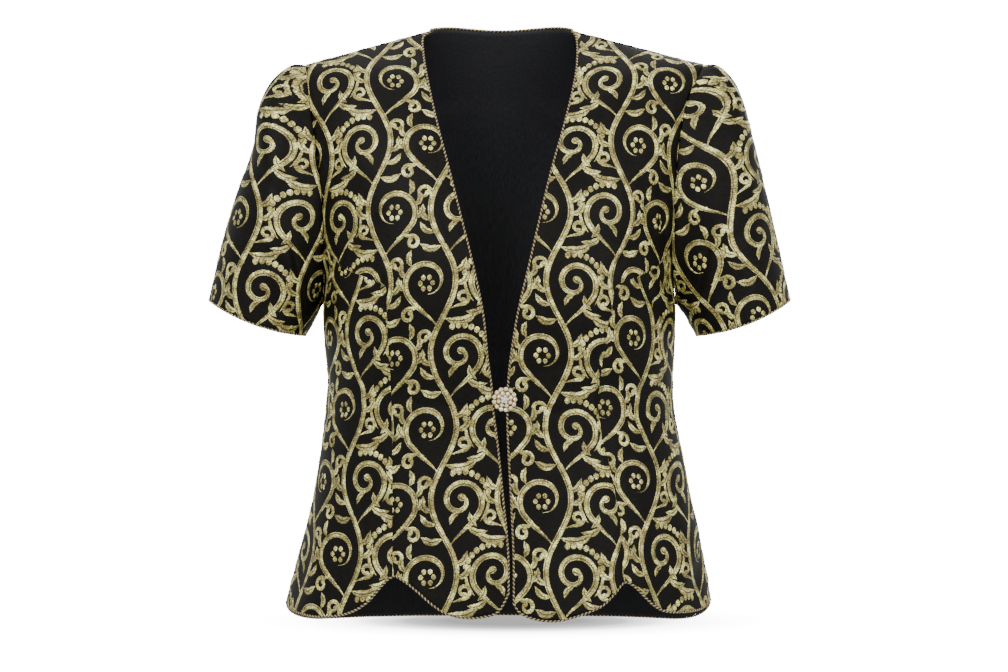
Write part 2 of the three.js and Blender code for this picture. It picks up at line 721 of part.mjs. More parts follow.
for (const side of sides) {
  const front = fronts[side.name];
  const sleeve = sleeves[side.name];
  jacket.add(wallMesh(`front_${side.name}`, brocade, front.grid, front.normals,
    -side.sign, false, 0, wall));
  jacket.add(wallMesh(`sleeve_${side.name}`, brocade, sleeve.grid, sleeve.normals,
    side.sign, true, 0, wall));
}
jacket.add(wallMesh('back', brocade, back.grid, back.normals, 1, false, 0, wall));

// The back's lining hangs just inside it, coarser beyond the neckline.
const fineColumns = 8;
const liningColumns = back.grid.map((_, i) => i).filter((i) => {
  const half = Math.abs(i - (backHalf.length - 1));
  return half < fineColumns || half % 2 === 1;
});
const liningInside = wall + 2 * seamGap;
jacket.add(wallMesh('back_lining', liningCloth, liningColumns.map((i) => back.grid[i]),
  liningColumns.map((i) => back.normals[i]), 1, false, liningInside, liningInside + liningWall));

function addCords(side) {
  const front = fronts[side.name];
  const sleeve = sleeves[side.name];
  const edge = cordStations(front.grid[0], front.normals[0], side.sign, false);
  jacket.add(cordMesh(`edge_cord_${side.name}`, shorten(edge, cordStart, cordEnd), side.sign, false));
  const last = front.grid[0].length - 1;
  const hemEdge = front.grid.map((column) => column[last]);
  const hemNormals = front.normals.map((column) => column[last]);
  const hem = cordStations(hemEdge, hemNormals, side.sign, false);
  jacket.add(cordMesh(`hem_cord_${side.name}`, shorten(hem, cordStart, cordEnd), side.sign, false));
  const ringLast = sleeveRings.length - 1;
  const every = sleeve.grid.map((_, i) => i).filter((i) => keepCuffStation(i, sleeve.grid.length));
  const cuff = cordStations(every.map((i) => sleeve.grid[i][ringLast]),
    every.map((i) => sleeve.normals[i][ringLast]), -side.sign, true);
  jacket.add(cordMesh(`cuff_cord_${side.name}`, cuff, -side.sign, true));
}

// The cuff's cord skips every second station of the gathered stretch.
function keepCuffStation(i, count) {
  const fine = gatherSteps * gatherParts;
  const fromTop = Math.min(i, count - i);
  return fromTop > fine || fromTop % 2 === 0;
}

for (const side of sides) addCords(side);

const neckColumns = back.grid.map((_, i) => i).filter((i) => {
  const half = Math.abs(i - (backHalf.length - 1));
  return backHalf[half] < neckShare;
});
const neck = cordStations(neckColumns.map((i) => back.grid[i][0]),
  neckColumns.map((i) => back.normals[i][0]), 1, false);
jacket.add(cordMesh('neck_cord', neck, 1, false));
const backLast = back.grid[0].length - 1;
const backHemStations = cordStations(back.grid.map((column) => column[backLast]),
  back.normals.map((column) => column[backLast]), -1, false);
jacket.add(cordMesh('hem_cord_back', shorten(backHemStations, cordEnd, cordEnd), -1, false));

// ---- button ----

// Domed cluster button: a rim, a middle ring and a raised centre over a flat base.
function buttonMesh(backY) {
  const step = buttonHeight / 4;
  const profile = [
    [0, 0], [buttonRadius - 1, 0], [buttonRadius, step * 0.6], [buttonRadius - 0.6, step * 1.4],
    [buttonRadius * 0.72, step * 2], [buttonRadius * 0.66, step * 2.6],
    [buttonRadius * 0.42, step * 3.1], [buttonRadius * 0.36, step * 3.6],
    [buttonRadius * 0.16, buttonHeight], [0, buttonHeight],
  ].map(([x, y]) => new THREE.Vector2(x, y));
  const mesh = new THREE.Mesh(new THREE.LatheGeometry(profile, 24), paste);
  mesh.name = 'button';
  mesh.rotation.x = Math.PI;
  mesh.position.set(buttonX, backY, buttonZ);
  return mesh;
}

const left = sides[1];
const sewnAt = frontPoint(left, buttonColumn, -buttonZ);
const buttonBack = sewnAt.y - buttonStand;
jacket.add(buttonMesh(buttonBack));
const shankLength = sewnAt.y - buttonBack - 2 * seamGap;
const shank = new THREE.Mesh(new THREE.CylinderGeometry(shankRadius, shankRadius, shankLength, 12), paste);
shank.name = 'button_shank';
shank.position.set(sewnAt.x + shankRadius, buttonBack + seamGap + shankLength / 2, buttonZ);
jacket.add(shank);

export default jacket;
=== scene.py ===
import math
import bmesh
import bpy
import numpy as np
from mathutils import Matrix, Vector


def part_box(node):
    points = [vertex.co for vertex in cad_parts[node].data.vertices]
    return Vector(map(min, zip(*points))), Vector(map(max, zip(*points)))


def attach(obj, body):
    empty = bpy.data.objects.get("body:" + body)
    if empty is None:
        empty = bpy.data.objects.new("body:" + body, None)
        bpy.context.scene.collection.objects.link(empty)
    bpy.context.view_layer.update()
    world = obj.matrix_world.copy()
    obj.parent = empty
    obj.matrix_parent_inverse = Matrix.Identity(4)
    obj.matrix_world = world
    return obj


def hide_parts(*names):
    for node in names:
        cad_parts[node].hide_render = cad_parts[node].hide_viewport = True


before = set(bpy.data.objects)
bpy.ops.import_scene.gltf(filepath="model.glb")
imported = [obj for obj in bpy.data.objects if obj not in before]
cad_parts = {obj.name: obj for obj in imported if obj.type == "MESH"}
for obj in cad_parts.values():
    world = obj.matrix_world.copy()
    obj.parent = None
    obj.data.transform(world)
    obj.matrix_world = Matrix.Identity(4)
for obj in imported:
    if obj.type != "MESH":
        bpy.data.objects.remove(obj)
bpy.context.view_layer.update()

mm = 0.001
sideSign = {"right": -1, "left": 1}  # the wearer's own sides

# Cutting sizes of the jacket in millimetres, as in the frame's solids.
jacket = {
    "wall": 1.3, "underarm": 286, "shoulderDrop": 35, "shoulderY": 3, "underarmY": 8,
    "frontArmReach": 51, "backArmReach": 52, "neckShare": 0.4, "neckBackY": 40, "neckRise": 3,
    "neckSwell": 2.5, "neckBlend": 70, "trim": 3.1, "dartColumn": 0.55, "dartTop": 262,
    "dartRun": 60, "dartDepth": 1.3, "dartWidth": 0.016, "dartHalvings": 24, "backHemDown": 625.5,
    "backHemRun": 90, "hemEase": 1.7, "sideHem": {"right": 601.5, "left": 598}, "seamSink": 0.8,
    "seamWidth": 2.4, "seamAllowance": 2.6, "cornerFade": 14, "frontGrain": 90, "leastSlope": 0.3,
    "hemRounds": 4,
}

edgeLine = {  # front edge: distance from the centre line on each side, and how far forward
    "down": [0, 6, 22, 50, 100, 150, 200, 250, 300, 345, 370, 400, 430, 480, 540, 585, 640],
    "right": [72, 79, 79, 74.5, 63.5, 50.5, 38, 25.5, 15.5, 11, 7.5, 5, 1.2, -4, -9.6, -10, -10],
    "left": [73, 76.5, 77.5, 75, 63.5, 49.5, 37.5, 26, 14.5, 7.5, 5.2, 4.4, 5.2, 7.8, 10.6, 11, 11],
    "forward": [2, 7, 22, 45, 75, 97, 111, 121.5, 124, 119, 114, 112, 112, 117, 123.7, 128, 132],
}
sideLine = {  # side seams
    "down": [286, 325, 368, 396, 420, 458, 495, 528, 560, 600, 640],
    "right": [187, 185.5, 182, 184.2, 186.8, 192, 198.5, 206.8, 215.7, 226, 235],
    "left": [183, 182.8, 180.8, 182, 186.2, 193.7, 200.3, 208.2, 214.6, 221.2, 229],
}
frontArmLine = {
    "down": [35, 62, 85, 110, 150, 185, 230, 262, 286],
    "right": [205, 201, 198, 194, 188, 185.5, 184.5, 185.5, 187],
    "left": [213, 199, 191, 186.5, 182, 179.5, 178, 180, 183],
}
backArmLine = {
    "down": [35, 62, 100, 160, 222, 286],
    "right": [205, 199, 194, 189, 187, 187],
    "left": [213, 203, 196, 190, 186, 183],
}
frontLevels = {  # handles of each level's curve, from the edge to the seam
    "down": [0, 40, 72, 143, 215, 286, 330, 370, 430, 500, 560, 640],
    "inShare": [0.33, 0.33, 0.34, 0.4, 0.5, 0.58, 0.58, 0.6, 0.6, 0.6, 0.6, 0.6],
    "lead": [2, -6, -6, -7, -9, -5, -1, 0, 0, 0, 0, 0],
    "outShare": [0.67, 0.67, 0.7, 0.8, 0.88, 1, 1, 1, 1, 1, 1, 1],
    "outForward": [-1.5, 37, 57, 82, 82, 76, 70, 66, 66, 70, 73, 76],
}
backLevels = {
    "down": [0, 40, 72, 143, 215, 286, 330, 370, 430, 500, 560, 640],
    "centre": [40, 64, 79, 97, 104, 103, 96, 88, 98, 113, 120, 126],
    "inShare": [0.35, 0.35, 0.36, 0.4, 0.5, 0.58, 0.58, 0.58, 0.58, 0.6, 0.6, 0.6],
    "lead": [2, 2, 3, 4, 2, 0, 0, 0, 1, 1, 0, 0],
    "outShare": [0.67, 0.67, 0.7, 0.82, 0.94, 1, 1, 1, 1, 1, 1, 1],
    "outBack": [12, 45, 64, 90, 84, 68, 62, 57, 64, 73, 77, 80],
}
dartLine = {
    "down": [0, 150, 262, 325, 385, 426, 460, 495, 575, 640],
    "right": [138, 124, 117, 114.8, 111.8, 111, 110.6, 110.4, 110, 109.5],
    "left": [140, 126, 117, 107, 99.5, 104, 112.5, 118.5, 125.7, 131],
}
hemLines = {
    "right": {
        "across": [-10, 2, 18, 37, 56, 70, 85, 99, 110, 122, 135, 152, 174, 196, 217, 226],
        "down": [577, 600, 606.5, 607.5, 603, 594, 581, 571, 566.5, 577, 592.5, 603.5, 609.5,
                 610.5, 607, 601.5],
    },
    "left": {
        "across": [11, 18, 34, 55, 73, 91, 104, 116, 125.7, 135, 146, 157, 168, 184, 203, 214, 221],
        "down": [587, 600.5, 608.5, 611, 607.5, 601.5, 595, 583.5, 573, 576.5, 587, 597, 603.5,
                 606, 605.5, 602.5, 598],
    },
}
sleeveLevels = {
    "step": [0, 1, 2, 3, 4, 5, 6, 7],
    "rightOut": [205, 222, 242, 255, 260, 276, 293, 307],
    "leftOut": [213, 229, 246, 257, 267, 278, 291, 304],
    "outDown": [35, 37, 54, 82, 121, 166, 222, 281],
    "under": [185, 189, 192, 195, 197.5, 200, 202.5, 205],
    "underDown": [286, 291, 296, 301, 306, 311, 315, 319],
    "depth": [51.5, 57, 63, 67, 69, 68, 65.5, 63],
    "round": [1, 0.94, 0.88, 0.86, 0.88, 0.92, 0.96, 1],
}


def follow(table, key, column, at):
    xs = np.array(table[key], float)
    ys = np.array(table[column], float)
    at = np.asarray(at, float)
    last = len(xs) - 1
    i = np.clip(np.searchsorted(xs, at, side="left") - 1, 0, last - 1)
    before = np.maximum(np.arange(last + 1) - 1, 0)
    after = np.minimum(np.arange(last + 1) + 1, last)
    slope = (ys[after] - ys[before]) / (xs[after] - xs[before])
    span = xs[i + 1] - xs[i]
    q = np.clip((at - xs[i]) / span, 0, 1)
    bend = q * (1 - q) ** 2 * span * slope[i] + q * q * (q - 1) * span * slope[i + 1]
    return ys[i] + (ys[i + 1] - ys[i]) * q * q * (3 - 2 * q) + bend


def bell(distance, spread):
    return np.exp(-((distance / spread) ** 2))


def valley(distance, spread):  # a trough with a low shoulder on each side
    x = distance / spread
    return (1 - x * x) * np.exp(-x * x / 2)


def point(x, y, z):
    return np.stack(np.broadcast_arrays(x, y, z), axis=-1).astype(float)


def edgePoint(side, down):
    across = follow(edgeLine, "down", side, down) + jacket["trim"]
    return point(sideSign[side] * across, -follow(edgeLine, "down", "forward", down), -down)


def armholePoint(side, table, reach, share):
    turn = math.pi * share
    fall = jacket["underarm"] - jacket["shoulderDrop"]
    down = jacket["shoulderDrop"] + fall * (1 - np.cos(turn)) / 2
    y = jacket["shoulderY"] + (jacket["underarmY"] - jacket["shoulderY"]) * share + reach * np.sin(turn)
    return point(sideSign[side] * follow(table, "down", side, down), y, -down)


def seamPoint(side, down, table, reach):
    share = np.clip(down / jacket["underarm"], 0, 1)
    above = armholePoint(side, table, reach, share)
    below = point(sideSign[side] * follow(sideLine, "down", side, down), jacket["underarmY"], -down)
    return np.where((down < jacket["underarm"])[..., None], above, below)


def levelCurve(start, end, innerY, outerY, inShare, outShare, t):
    inner = start + (end - start) / 3
    outer = start + (end - start) * 2 / 3
    inner[..., 0] = start[..., 0] + (end[..., 0] - start[..., 0]) * inShare
    outer[..., 0] = start[..., 0] + (end[..., 0] - start[..., 0]) * outShare
    inner[..., 1] = innerY
    outer[..., 1] = outerY
    t = np.asarray(t)[..., None]
    return (start * (1 - t) ** 3 + inner * 3 * t * (1 - t) ** 2
            + outer * 3 * t * t * (1 - t) + end * t ** 3)


def frontLevel(side, down, t):
    start = edgePoint(side, down)
    end = seamPoint(side, down, frontArmLine, -jacket["frontArmReach"])
    pick = {c: follow(frontLevels, "down", c, down) for c in frontLevels if c != "down"}
    return levelCurve(start, end, start[..., 1] + pick["lead"], -pick["outForward"],
                      pick["inShare"], pick["outShare"], t)


def rowsOf(keys, *rows):
    return [dict(zip(keys.split(), row)) for row in rows]


# Folds and creases of the fronts, placed by distance from the centre and depth below the neck.
foldKeys = "across down run spread depth lean"
frontFolds = {
    "right": rowsOf(foldKeys, (147, 214, 24, 10, 2.2, 25)),
    "left": rowsOf(foldKeys, (166, 222, 46, 10, 3.0, 82), (130, 240, 24, 9, 2.2, -40)),
}
frontCreases = {
    "right": rowsOf(
        foldKeys, (150, 216, 22, 4.5, 1.5, 24), (170, 240, 30, 6, 1.5, 58), (128, 262, 26, 7, 1.2, -52),
        (176, 150, 34, 6, 1.5, 80), (160, 118, 40, 9, 1.2, 66), (92, 356, 40, 9, 1.2, 8),
        (52, 392, 36, 7, 1.1, -4), (150, 372, 36, 8, 1.5, -10), (166, 398, 26, 6, 1.1, 12),
        (160, 545, 62, 15, 2.6, 84), (60, 560, 56, 15, 1.8, 94), (206, 560, 44, 9, 1.8, 76)),
    "left": rowsOf(
        foldKeys, (168, 206, 36, 4.6, 2.0, 82), (153, 196, 32, 4.6, 1.6, 76), (176, 252, 26, 4, 1.6, 96),
        (128, 237, 17, 4, 1.9, -42), (146, 262, 24, 4.4, 1.5, 62), (158, 284, 26, 5, 1.4, 50),
        (110, 322, 24, 2.6, 1.5, 88), (100, 390, 15, 2.6, 1.4, 90), (60, 352, 36, 9, 1.2, -12),
        (44, 396, 34, 7, 1.1, 6), (148, 376, 34, 8, 1.4, 14), (158, 404, 26, 7, 1.2, -8),
        (74, 556, 58, 15, 1.8, 88), (168, 548, 60, 14, 2.6, 98), (204, 566, 40, 8, 1.6, 106),
        (160, 92, 42, 9, 1.3, -64)),
}


def foldDepth(folds, across, down, shape):
    depth = np.zeros_like(across)
    for fold in folds:
        lean = math.radians(fold["lean"])
        x = across - fold["across"]
        z = down - fold["down"]
        along = x * math.cos(lean) + z * math.sin(lean)
        off = z * math.cos(lean) - x * math.sin(lean)
        depth = depth + fold["depth"] * bell(along, fold["run"]) * shape(off, fold["spread"])
    return depth


def frontPoint(side, column, down):
    sign = sideSign[side]
    column, down = np.broadcast_arrays(np.asarray(column, float), np.asarray(down, float))
    target = follow(dartLine, "down", side, down)
    low = np.zeros_like(down)
    high = np.ones_like(down)
    for _ in range(jacket["dartHalvings"]):  # where the level crosses the line of the dart
        middle = (low + high) / 2
        inside = sign * frontLevel(side, down, middle)[..., 0] < target
        low = np.where(inside, middle, low)
        high = np.where(inside, high, middle)
    dart = jacket["dartColumn"]
    share = np.where(column < dart, column / dart * low, low + (column - dart) / (1 - dart) * (1 - low))
    made = frontLevel(side, down, share)
    q = np.clip((down - jacket["dartTop"]) / jacket["dartRun"], 0, 1)
    groove = jacket["dartDepth"] * q * q * (3 - 2 * q)
    made[..., 1] += groove * bell(column - dart, jacket["dartWidth"])
    made[..., 1] += foldDepth(frontFolds[side], sign * made[..., 0], -made[..., 2], bell)
    return made


def frontHemDown(side, column):
    down = np.full_like(column, float(jacket["backHemDown"]))
    for _ in range(jacket["hemRounds"]):  # each round settles the hem nearer to its own line
        across = sideSign[side] * frontPoint(side, column, down)[..., 0]
        down = follow(hemLines[side], "across", "down", across) - jacket["trim"]
    down[-1] = jacket["sideHem"][side] - jacket["trim"]
    return down


panelRows = {"toUnderarm": 84, "toHem": 96}


def rowDown(hemDown):  # depth of each row, for each column
    top = np.linspace(0, jacket["underarm"], panelRows["toUnderarm"] + 1)
    share = np.linspace(0, 1, panelRows["toHem"] + 1)[1:]
    below = jacket["underarm"] + (hemDown[:, None] - jacket["underarm"]) * share[None, :]
    return np.concatenate([np.broadcast_to(top, (len(hemDown), len(top))), below], axis=1)


def backLevel(side, down, t):
    start = point(0 * down, follow(backLevels, "down", "centre", down), -down)
    end = seamPoint(side, down, backArmLine, jacket["backArmReach"])
    pick = {c: follow(backLevels, "down", c, down) for c in backLevels if c != "down"}
    return levelCurve(start, end, start[..., 1] + pick["lead"], pick["outBack"],
                      pick["inShare"], pick["outShare"], t)


def backTopPoint(side, share):
    zero = np.zeros_like(share)
    neck = edgePoint(side, zero)
    shoulder = seamPoint(side, zero, frontArmLine, -jacket["frontArmReach"])
    along = np.clip((share - jacket["neckShare"]) / (1 - jacket["neckShare"]), 0, 1)
    onShoulder = neck + (shoulder - neck) * along[..., None]
    q = np.clip(share / jacket["neckShare"], 0, 1)
    turn = math.pi / 2 * q
    rise = jacket["neckRise"] * (1 - q ** 4) + jacket["neckSwell"] * np.sin(math.pi * q) ** 2
    onNeck = point(neck[..., 0] * np.sin(turn),
                   neck[..., 1] + (jacket["neckBackY"] - neck[..., 1]) * np.cos(turn),
                   neck[..., 2] + rise)
    return np.where((share > jacket["neckShare"])[..., None], onShoulder, onNeck)


def backPoint(side, share, down):
    share, down = np.broadcast_arrays(np.asarray(share, float), np.asarray(down, float))
    made = backLevel(side, down, share)
    blend = np.clip(1 - down / jacket["neckBlend"], 0, 1) ** 2
    shift = backTopPoint(side, share) - backLevel(side, np.zeros_like(down), share)
    return made + shift * blend[..., None]


def backHem(side, share):
    width = follow(sideLine, "down", side, jacket["backHemDown"])
    near = np.clip(1 - width * (1 - share) / jacket["backHemRun"], 0, 1)
    rise = (jacket["backHemDown"] - jacket["sideHem"][side]) * near ** jacket["hemEase"]
    return jacket["backHemDown"] - jacket["trim"] - rise


backCreases = rowsOf(
    foldKeys, (96, 372, 52, 7, 2.0, 9), (-104, 364, 46, 7, 1.8, -13), (14, 392, 60, 8, 1.7, -3),
    (-30, 350, 44, 8, 1.4, 6), (140, 236, 44, 8, 2.0, -56), (-142, 228, 48, 8, 2.1, 52),
    (164, 150, 44, 8, 1.6, -80), (-166, 162, 40, 7, 1.6, 82), (80, 560, 62, 17, 2.8, 86),
    (-62, 552, 58, 17, 2.6, 95), (-160, 562, 54, 14, 2.4, 99), (168, 556, 50, 13, 2.2, 80),
    (58, 84, 40, 10, 1.2, 38), (-70, 92, 36, 10, 1.2, -34))

sleeve = {"middleY": 7, "cuffBow": 7, "cuffBowFrom": 4.5, "round": 62, "lastStep": 7, "bunching": 1.15,
          "headBlend": 3, "gatherFrom": 0.7, "gatherFan": 0.06}


def ringPoint(side, turn, step):
    pick = {c: follow(sleeveLevels, "step", c, step) for c in sleeveLevels if c != "step"}
    outX = pick[f"{side}Out"]
    middleX = (outX + pick["under"]) / 2
    middleDown = (pick["outDown"] + pick["underDown"]) / 2
    swing = np.cos(turn)
    bow = -np.sign(np.sin(turn)) * np.abs(np.sin(turn)) ** pick["round"]
    near = np.clip((step - sleeve["cuffBowFrom"]) / (sleeve["lastStep"] - sleeve["cuffBowFrom"]), 0, 1)
    hang = sleeve["cuffBow"] * near * near * (3 - 2 * near) * np.sin(turn) ** 2
    return point(sideSign[side] * (middleX + (outX - middleX) * swing),
                 sleeve["middleY"] + pick["depth"] * bow,
                 -(middleDown + (pick["outDown"] - middleDown) * swing + hang))


# Gathers of the sleeve heads: place round the ring in degrees from the top, the front positive.
gathers = rowsOf(
    "turn lift run width", (3, 1.6, 2.6, 1.9), (8, 2.1, 3.3, 2.1), (13, 1.5, 2.2, 1.9),
    (18.5, 2.2, 3.6, 2.2), (24, 1.7, 2.6, 2.0), (29, 2.3, 3.1, 2.2), (35, 1.6, 2.4, 2.1),
    (41, 2.0, 3.2, 2.4), (48, 1.5, 2.3, 2.4), (56, 1.2, 2.0, 2.8), (-2, 1.7, 2.9, 2.0),
    (-7.5, 1.9, 2.4, 2.0), (-13, 2.2, 3.4, 2.2), (-19, 1.5, 2.2, 2.0), (-25, 2.1, 3.0, 2.2),
    (-31, 1.6, 2.5, 2.2), (-38, 1.9, 2.9, 2.4), (-46, 1.4, 2.2, 2.6))
sleeveKeys = "turn step run spread depth slope"
sleeveFolds = {
    "right": rowsOf(
        sleeveKeys, (118, 5.9, 30, 0.55, 3, -0.022), (96, 4.9, 26, 0.26, 1.8, -0.026),
        (132, 6.5, 22, 0.24, 1.6, -0.02), (70, 3.4, 24, 0.3, 1.4, -0.03), (128, 3.6, 18, 0.5, 2.2, 0.02),
        (240, 5.6, 28, 0.5, 2.6, 0.024), (268, 4.4, 26, 0.3, 1.6, 0.028)),
    "left": rowsOf(
        sleeveKeys, (112, 5.2, 26, 0.5, 2.4, -0.03), (92, 4.4, 26, 0.26, 1.6, -0.03),
        (128, 6.0, 22, 0.24, 1.5, -0.024), (124, 3.2, 18, 0.5, 2.0, 0.018), (246, 5.4, 28, 0.5, 2.4, 0.026),
        (274, 4.0, 24, 0.3, 1.5, 0.03)),
}
panelSizes = {"frontInner": 40, "frontOuter": 34, "backHalf": 50, "ring": 84, "sleeveRows": 84}


def sleeveSurface(side):
    share = np.linspace(0, 1, panelSizes["ring"] + 1)
    turns = np.concatenate([math.pi * share[::-1], -math.pi * share[1:]])  # underarm, top, underarm
    front = armholePoint(side, frontArmLine, -jacket["frontArmReach"], share[::-1])
    back = armholePoint(side, backArmLine, jacket["backArmReach"], share[1:])
    start = np.concatenate([front, back])[:, None, :]
    # rows bunch up near the head, where the gathers are
    steps = sleeve["lastStep"] * np.linspace(0, 1, panelSizes["sleeveRows"] + 1) ** sleeve["bunching"]
    turn, step = np.meshgrid(turns, steps, indexing="ij")
    made = ringPoint(side, turn, step)
    offset = start - ringPoint(side, turn[:, :1], step[:, :1] * 0)
    made = made + offset * (np.clip(1 - step / sleeve["headBlend"], 0, 1) ** 2)[..., None]
    made[:, 0, :] = start[:, 0, :]
    middle = (ringPoint(side, turn * 0, step) + ringPoint(side, turn * 0 + math.pi, step)) / 2
    out = made - middle
    out /= np.linalg.norm(out, axis=-1, keepdims=True)
    degrees = np.degrees(turn)
    lift = np.zeros_like(step)
    for gather in gathers:
        fade = np.minimum(1, step / sleeve["gatherFrom"]) * np.clip(1 - step / gather["run"], 0, 1)
        sway = degrees - gather["turn"] * (1 + sleeve["gatherFan"] * step)
        lift += gather["lift"] * fade * valley(sway, gather["width"])
    for fold in sleeveFolds[side]:
        off = degrees % 360 - fold["turn"]
        beyond = step - fold["step"] - off * fold["slope"]
        lift -= fold["depth"] * bell(off, fold["run"]) * bell(beyond, fold["spread"])
    return made + out * lift[..., None]


def gridNormals(grid, outward):
    across = np.gradient(grid, axis=0)
    along = np.gradient(grid, axis=1)
    normals = np.cross(across, along) * outward
    return normals / np.maximum(np.linalg.norm(normals, axis=-1, keepdims=True), 1e-9)


def runLength(grid, axis):  # distance walked over the cloth along one axis of the grid
    steps = np.linalg.norm(np.diff(grid, axis=axis), axis=-1)
    walked = np.cumsum(steps, axis=axis)
    pad = [(0, 0), (0, 0)]
    pad[axis] = (1, 0)
    return np.pad(walked, pad)


def acrossThread(grid, down, anchor):  # distance over the cloth, square to its warp, from one column
    steps = np.linalg.norm(np.diff(grid, axis=0), axis=-1)
    least = (jacket["leastSlope"] * steps) ** 2
    level = np.sqrt(np.maximum(steps ** 2 - np.diff(down, axis=0) ** 2, least))
    walked = np.pad(np.cumsum(level, axis=0), ((1, 0), (0, 0)))
    return walked - walked[anchor:anchor + 1, :]


def sinkSeams(panel, edges, corner):  # the cloth rolls in towards its seams
    walked = runLength(panel["points"], 0)
    downwards = runLength(panel["points"], 1)
    distances = {
        "firstColumn": walked, "lastColumn": walked[-1:, :] - walked,
        "firstRow": downwards, "lastRow": downwards[:, -1:] - downwards,
    }
    sink = np.zeros(walked.shape)
    for edge in edges:
        sink = np.maximum(sink, jacket["seamSink"] * bell(distances[edge], jacket["seamWidth"]))
    fromCorner = np.linalg.norm(panel["points"] - corner, axis=-1)
    sink *= 1 - bell(fromCorner, jacket["cornerFade"])  # three pieces meet under the arm
    panel["points"] = panel["points"] - panel["normals"] * sink[..., None]
    panel["seams"] = edges


def underarmCorner(side):
    return armholePoint(side, frontArmLine, -jacket["frontArmReach"], np.array(1.0))


def turnSeamsIn(points, normals, flat, edges):  # the allowance beyond each seam lies turned inwards
    depth = jacket["seamAllowance"]
    for edge in edges:
        axis = 0 if "Column" in edge else 1
        here = (slice(None),) * axis + (slice(0, 1) if "first" in edge else slice(-1, None),)
        turned = points[here] - normals[here] * depth
        parts = [(turned, points), (normals[here], normals), (flat[here], flat)]
        joined = [np.concatenate(pair if "first" in edge else pair[::-1], axis=axis) for pair in parts]
        points, normals, flat = joined
    return points, normals, flat


def frontPanel(side):
    sign = sideSign[side]
    dart = jacket["dartColumn"]
    columns = np.concatenate([np.linspace(0, dart, panelSizes["frontInner"] + 1),
                              np.linspace(dart, 1, panelSizes["frontOuter"] + 1)[1:]])
    down = rowDown(frontHemDown(side, columns))
    grid = frontPoint(side, columns[:, None], down)
    normals = gridNormals(grid, -sign)
    crease = foldDepth(frontCreases[side], sign * grid[..., 0], -grid[..., 2], valley)
    grid = grid - normals * crease[..., None]
    panel = {"points": grid, "normals": gridNormals(grid, -sign)}
    panel["v"] = runLength(grid, 1) - grid[:, :1, 2]
    walked = acrossThread(grid, panel["v"], 0)
    grainX = jacket["frontGrain"]  # the thread of the warp hangs plumb on this line
    sums = np.array([np.interp(grainX, sign * grid[:, j, 0], walked[:, j]) for j in range(grid.shape[1])])
    panel["u"] = sign * (grainX + walked - sums[None, :])
    sinkSeams(panel, ["lastColumn", "firstRow"], underarmCorner(side))
    return panel


def backPanel():
    half = np.linspace(0, 1, panelSizes["backHalf"] + 1)
    rightDown = rowDown(backHem("right", half))
    leftDown = rowDown(backHem("left", half))
    right = backPoint("right", half[:, None], rightDown)[::-1]
    left = backPoint("left", half[:, None], leftDown)[1:]
    grid = np.concatenate([right, left])
    normals = gridNormals(grid, 1)
    crease = foldDepth(backCreases, grid[..., 0], -grid[..., 2], valley)
    grid = grid - normals * crease[..., None]
    panel = {"points": grid, "normals": gridNormals(grid, 1)}
    panel["v"] = runLength(grid, 1) - grid[:, :1, 2]
    panel["u"] = acrossThread(grid, panel["v"], panelSizes["backHalf"])
    panel["seams"] = ["firstColumn", "lastColumn"]
    return panel


def sleevePanel(side):
    sign = sideSign[side]
    # columns run from the underarm over the front and the top to the underarm again
    grid = sleeveSurface(side)
    panel = {"points": grid, "normals": gridNormals(grid, -sign)}
    # the warp runs along the arm: place along its axis, and turn round it from the outer line
    ends = (grid[:, 0].mean(axis=0), grid[:, -1].mean(axis=0))
    axis = (ends[1] - ends[0]) / np.linalg.norm(ends[1] - ends[0])
    off = grid - ends[1]
    along = off @ axis
    off = off - along[..., None] * axis
    outwards = np.cross(axis, (0, sign, 0))
    around = np.unwrap(np.arctan2(-off[..., 1], off @ outwards), axis=0)
    around -= 2 * math.pi * np.rint(around[panelSizes["ring"]] / (2 * math.pi))
    panel["v"] = along
    panel["u"] = -sign * around * sleeve["round"]
    sinkSeams(panel, ["firstRow", "firstColumn", "lastColumn"], underarmCorner(side))
    return panel


print("working out the panels")
panels = {}
for side in sideSign:
    panels[f"front_{side}"] = frontPanel(side)
    panels[f"sleeve_{side}"] = sleevePanel(side)
panels["back"] = backPanel()

socketLabels = {"color": "Base Color", "metal": "Metallic", "rough": "Roughness", "coat": "Coat Weight",
                "coatRough": "Coat Roughness", "gloss": "Specular IOR Level"}


def newMaterial(name, **settings):
    material = bpy.data.materials.new(name)
    material.use_nodes = True
    shader = material.node_tree.nodes["Principled BSDF"]
    for key, value in settings.items():
        shader.inputs[socketLabels[key]].default_value = (*value, 1) if key == "color" else value
    return material, material.node_tree, shader


def plug(tree, socket, value):  # a link from another node, or a plain number or colour
    if isinstance(value, bpy.types.NodeSocket):
        tree.links.new(value, socket)
    elif hasattr(value, "__len__") and socket.type == "RGBA":
        socket.default_value = (*value, 1)
    else:
        socket.default_value = value


def addNode(tree, kind, **inputs):
    node = tree.nodes.new(kind)
    for key, value in inputs.items():
        if hasattr(node, key):
            setattr(node, key, value)
        else:
            plug(tree, node.inputs[key.replace("_", " ")], value)
    return node


def noise(tree, place, scale, detail, **inputs):
    node = addNode(tree, "ShaderNodeTexNoise", Vector=place, Scale=scale, Detail=detail, **inputs)
    return node.outputs["Fac"]


def objectPlace(tree):
    return addNode(tree, "ShaderNodeTexCoord").outputs["Object"]


def ramp(tree, source, stops):
    node = tree.nodes.new("ShaderNodeValToRGB")
    tree.links.new(source, node.inputs[0])
    elements = node.color_ramp.elements
    while len(elements) < len(stops):
        elements.new(0.5)
    for element, (place, color) in zip(elements, stops):
        element.position = place
        element.color = (*color, 1) if hasattr(color, "__len__") else (color, color, color, 1)
    return node.outputs[0]


def stretched(tree, source, scale):
    return addNode(tree, "ShaderNodeMapping", Vector=source, Scale=scale).outputs["Vector"]


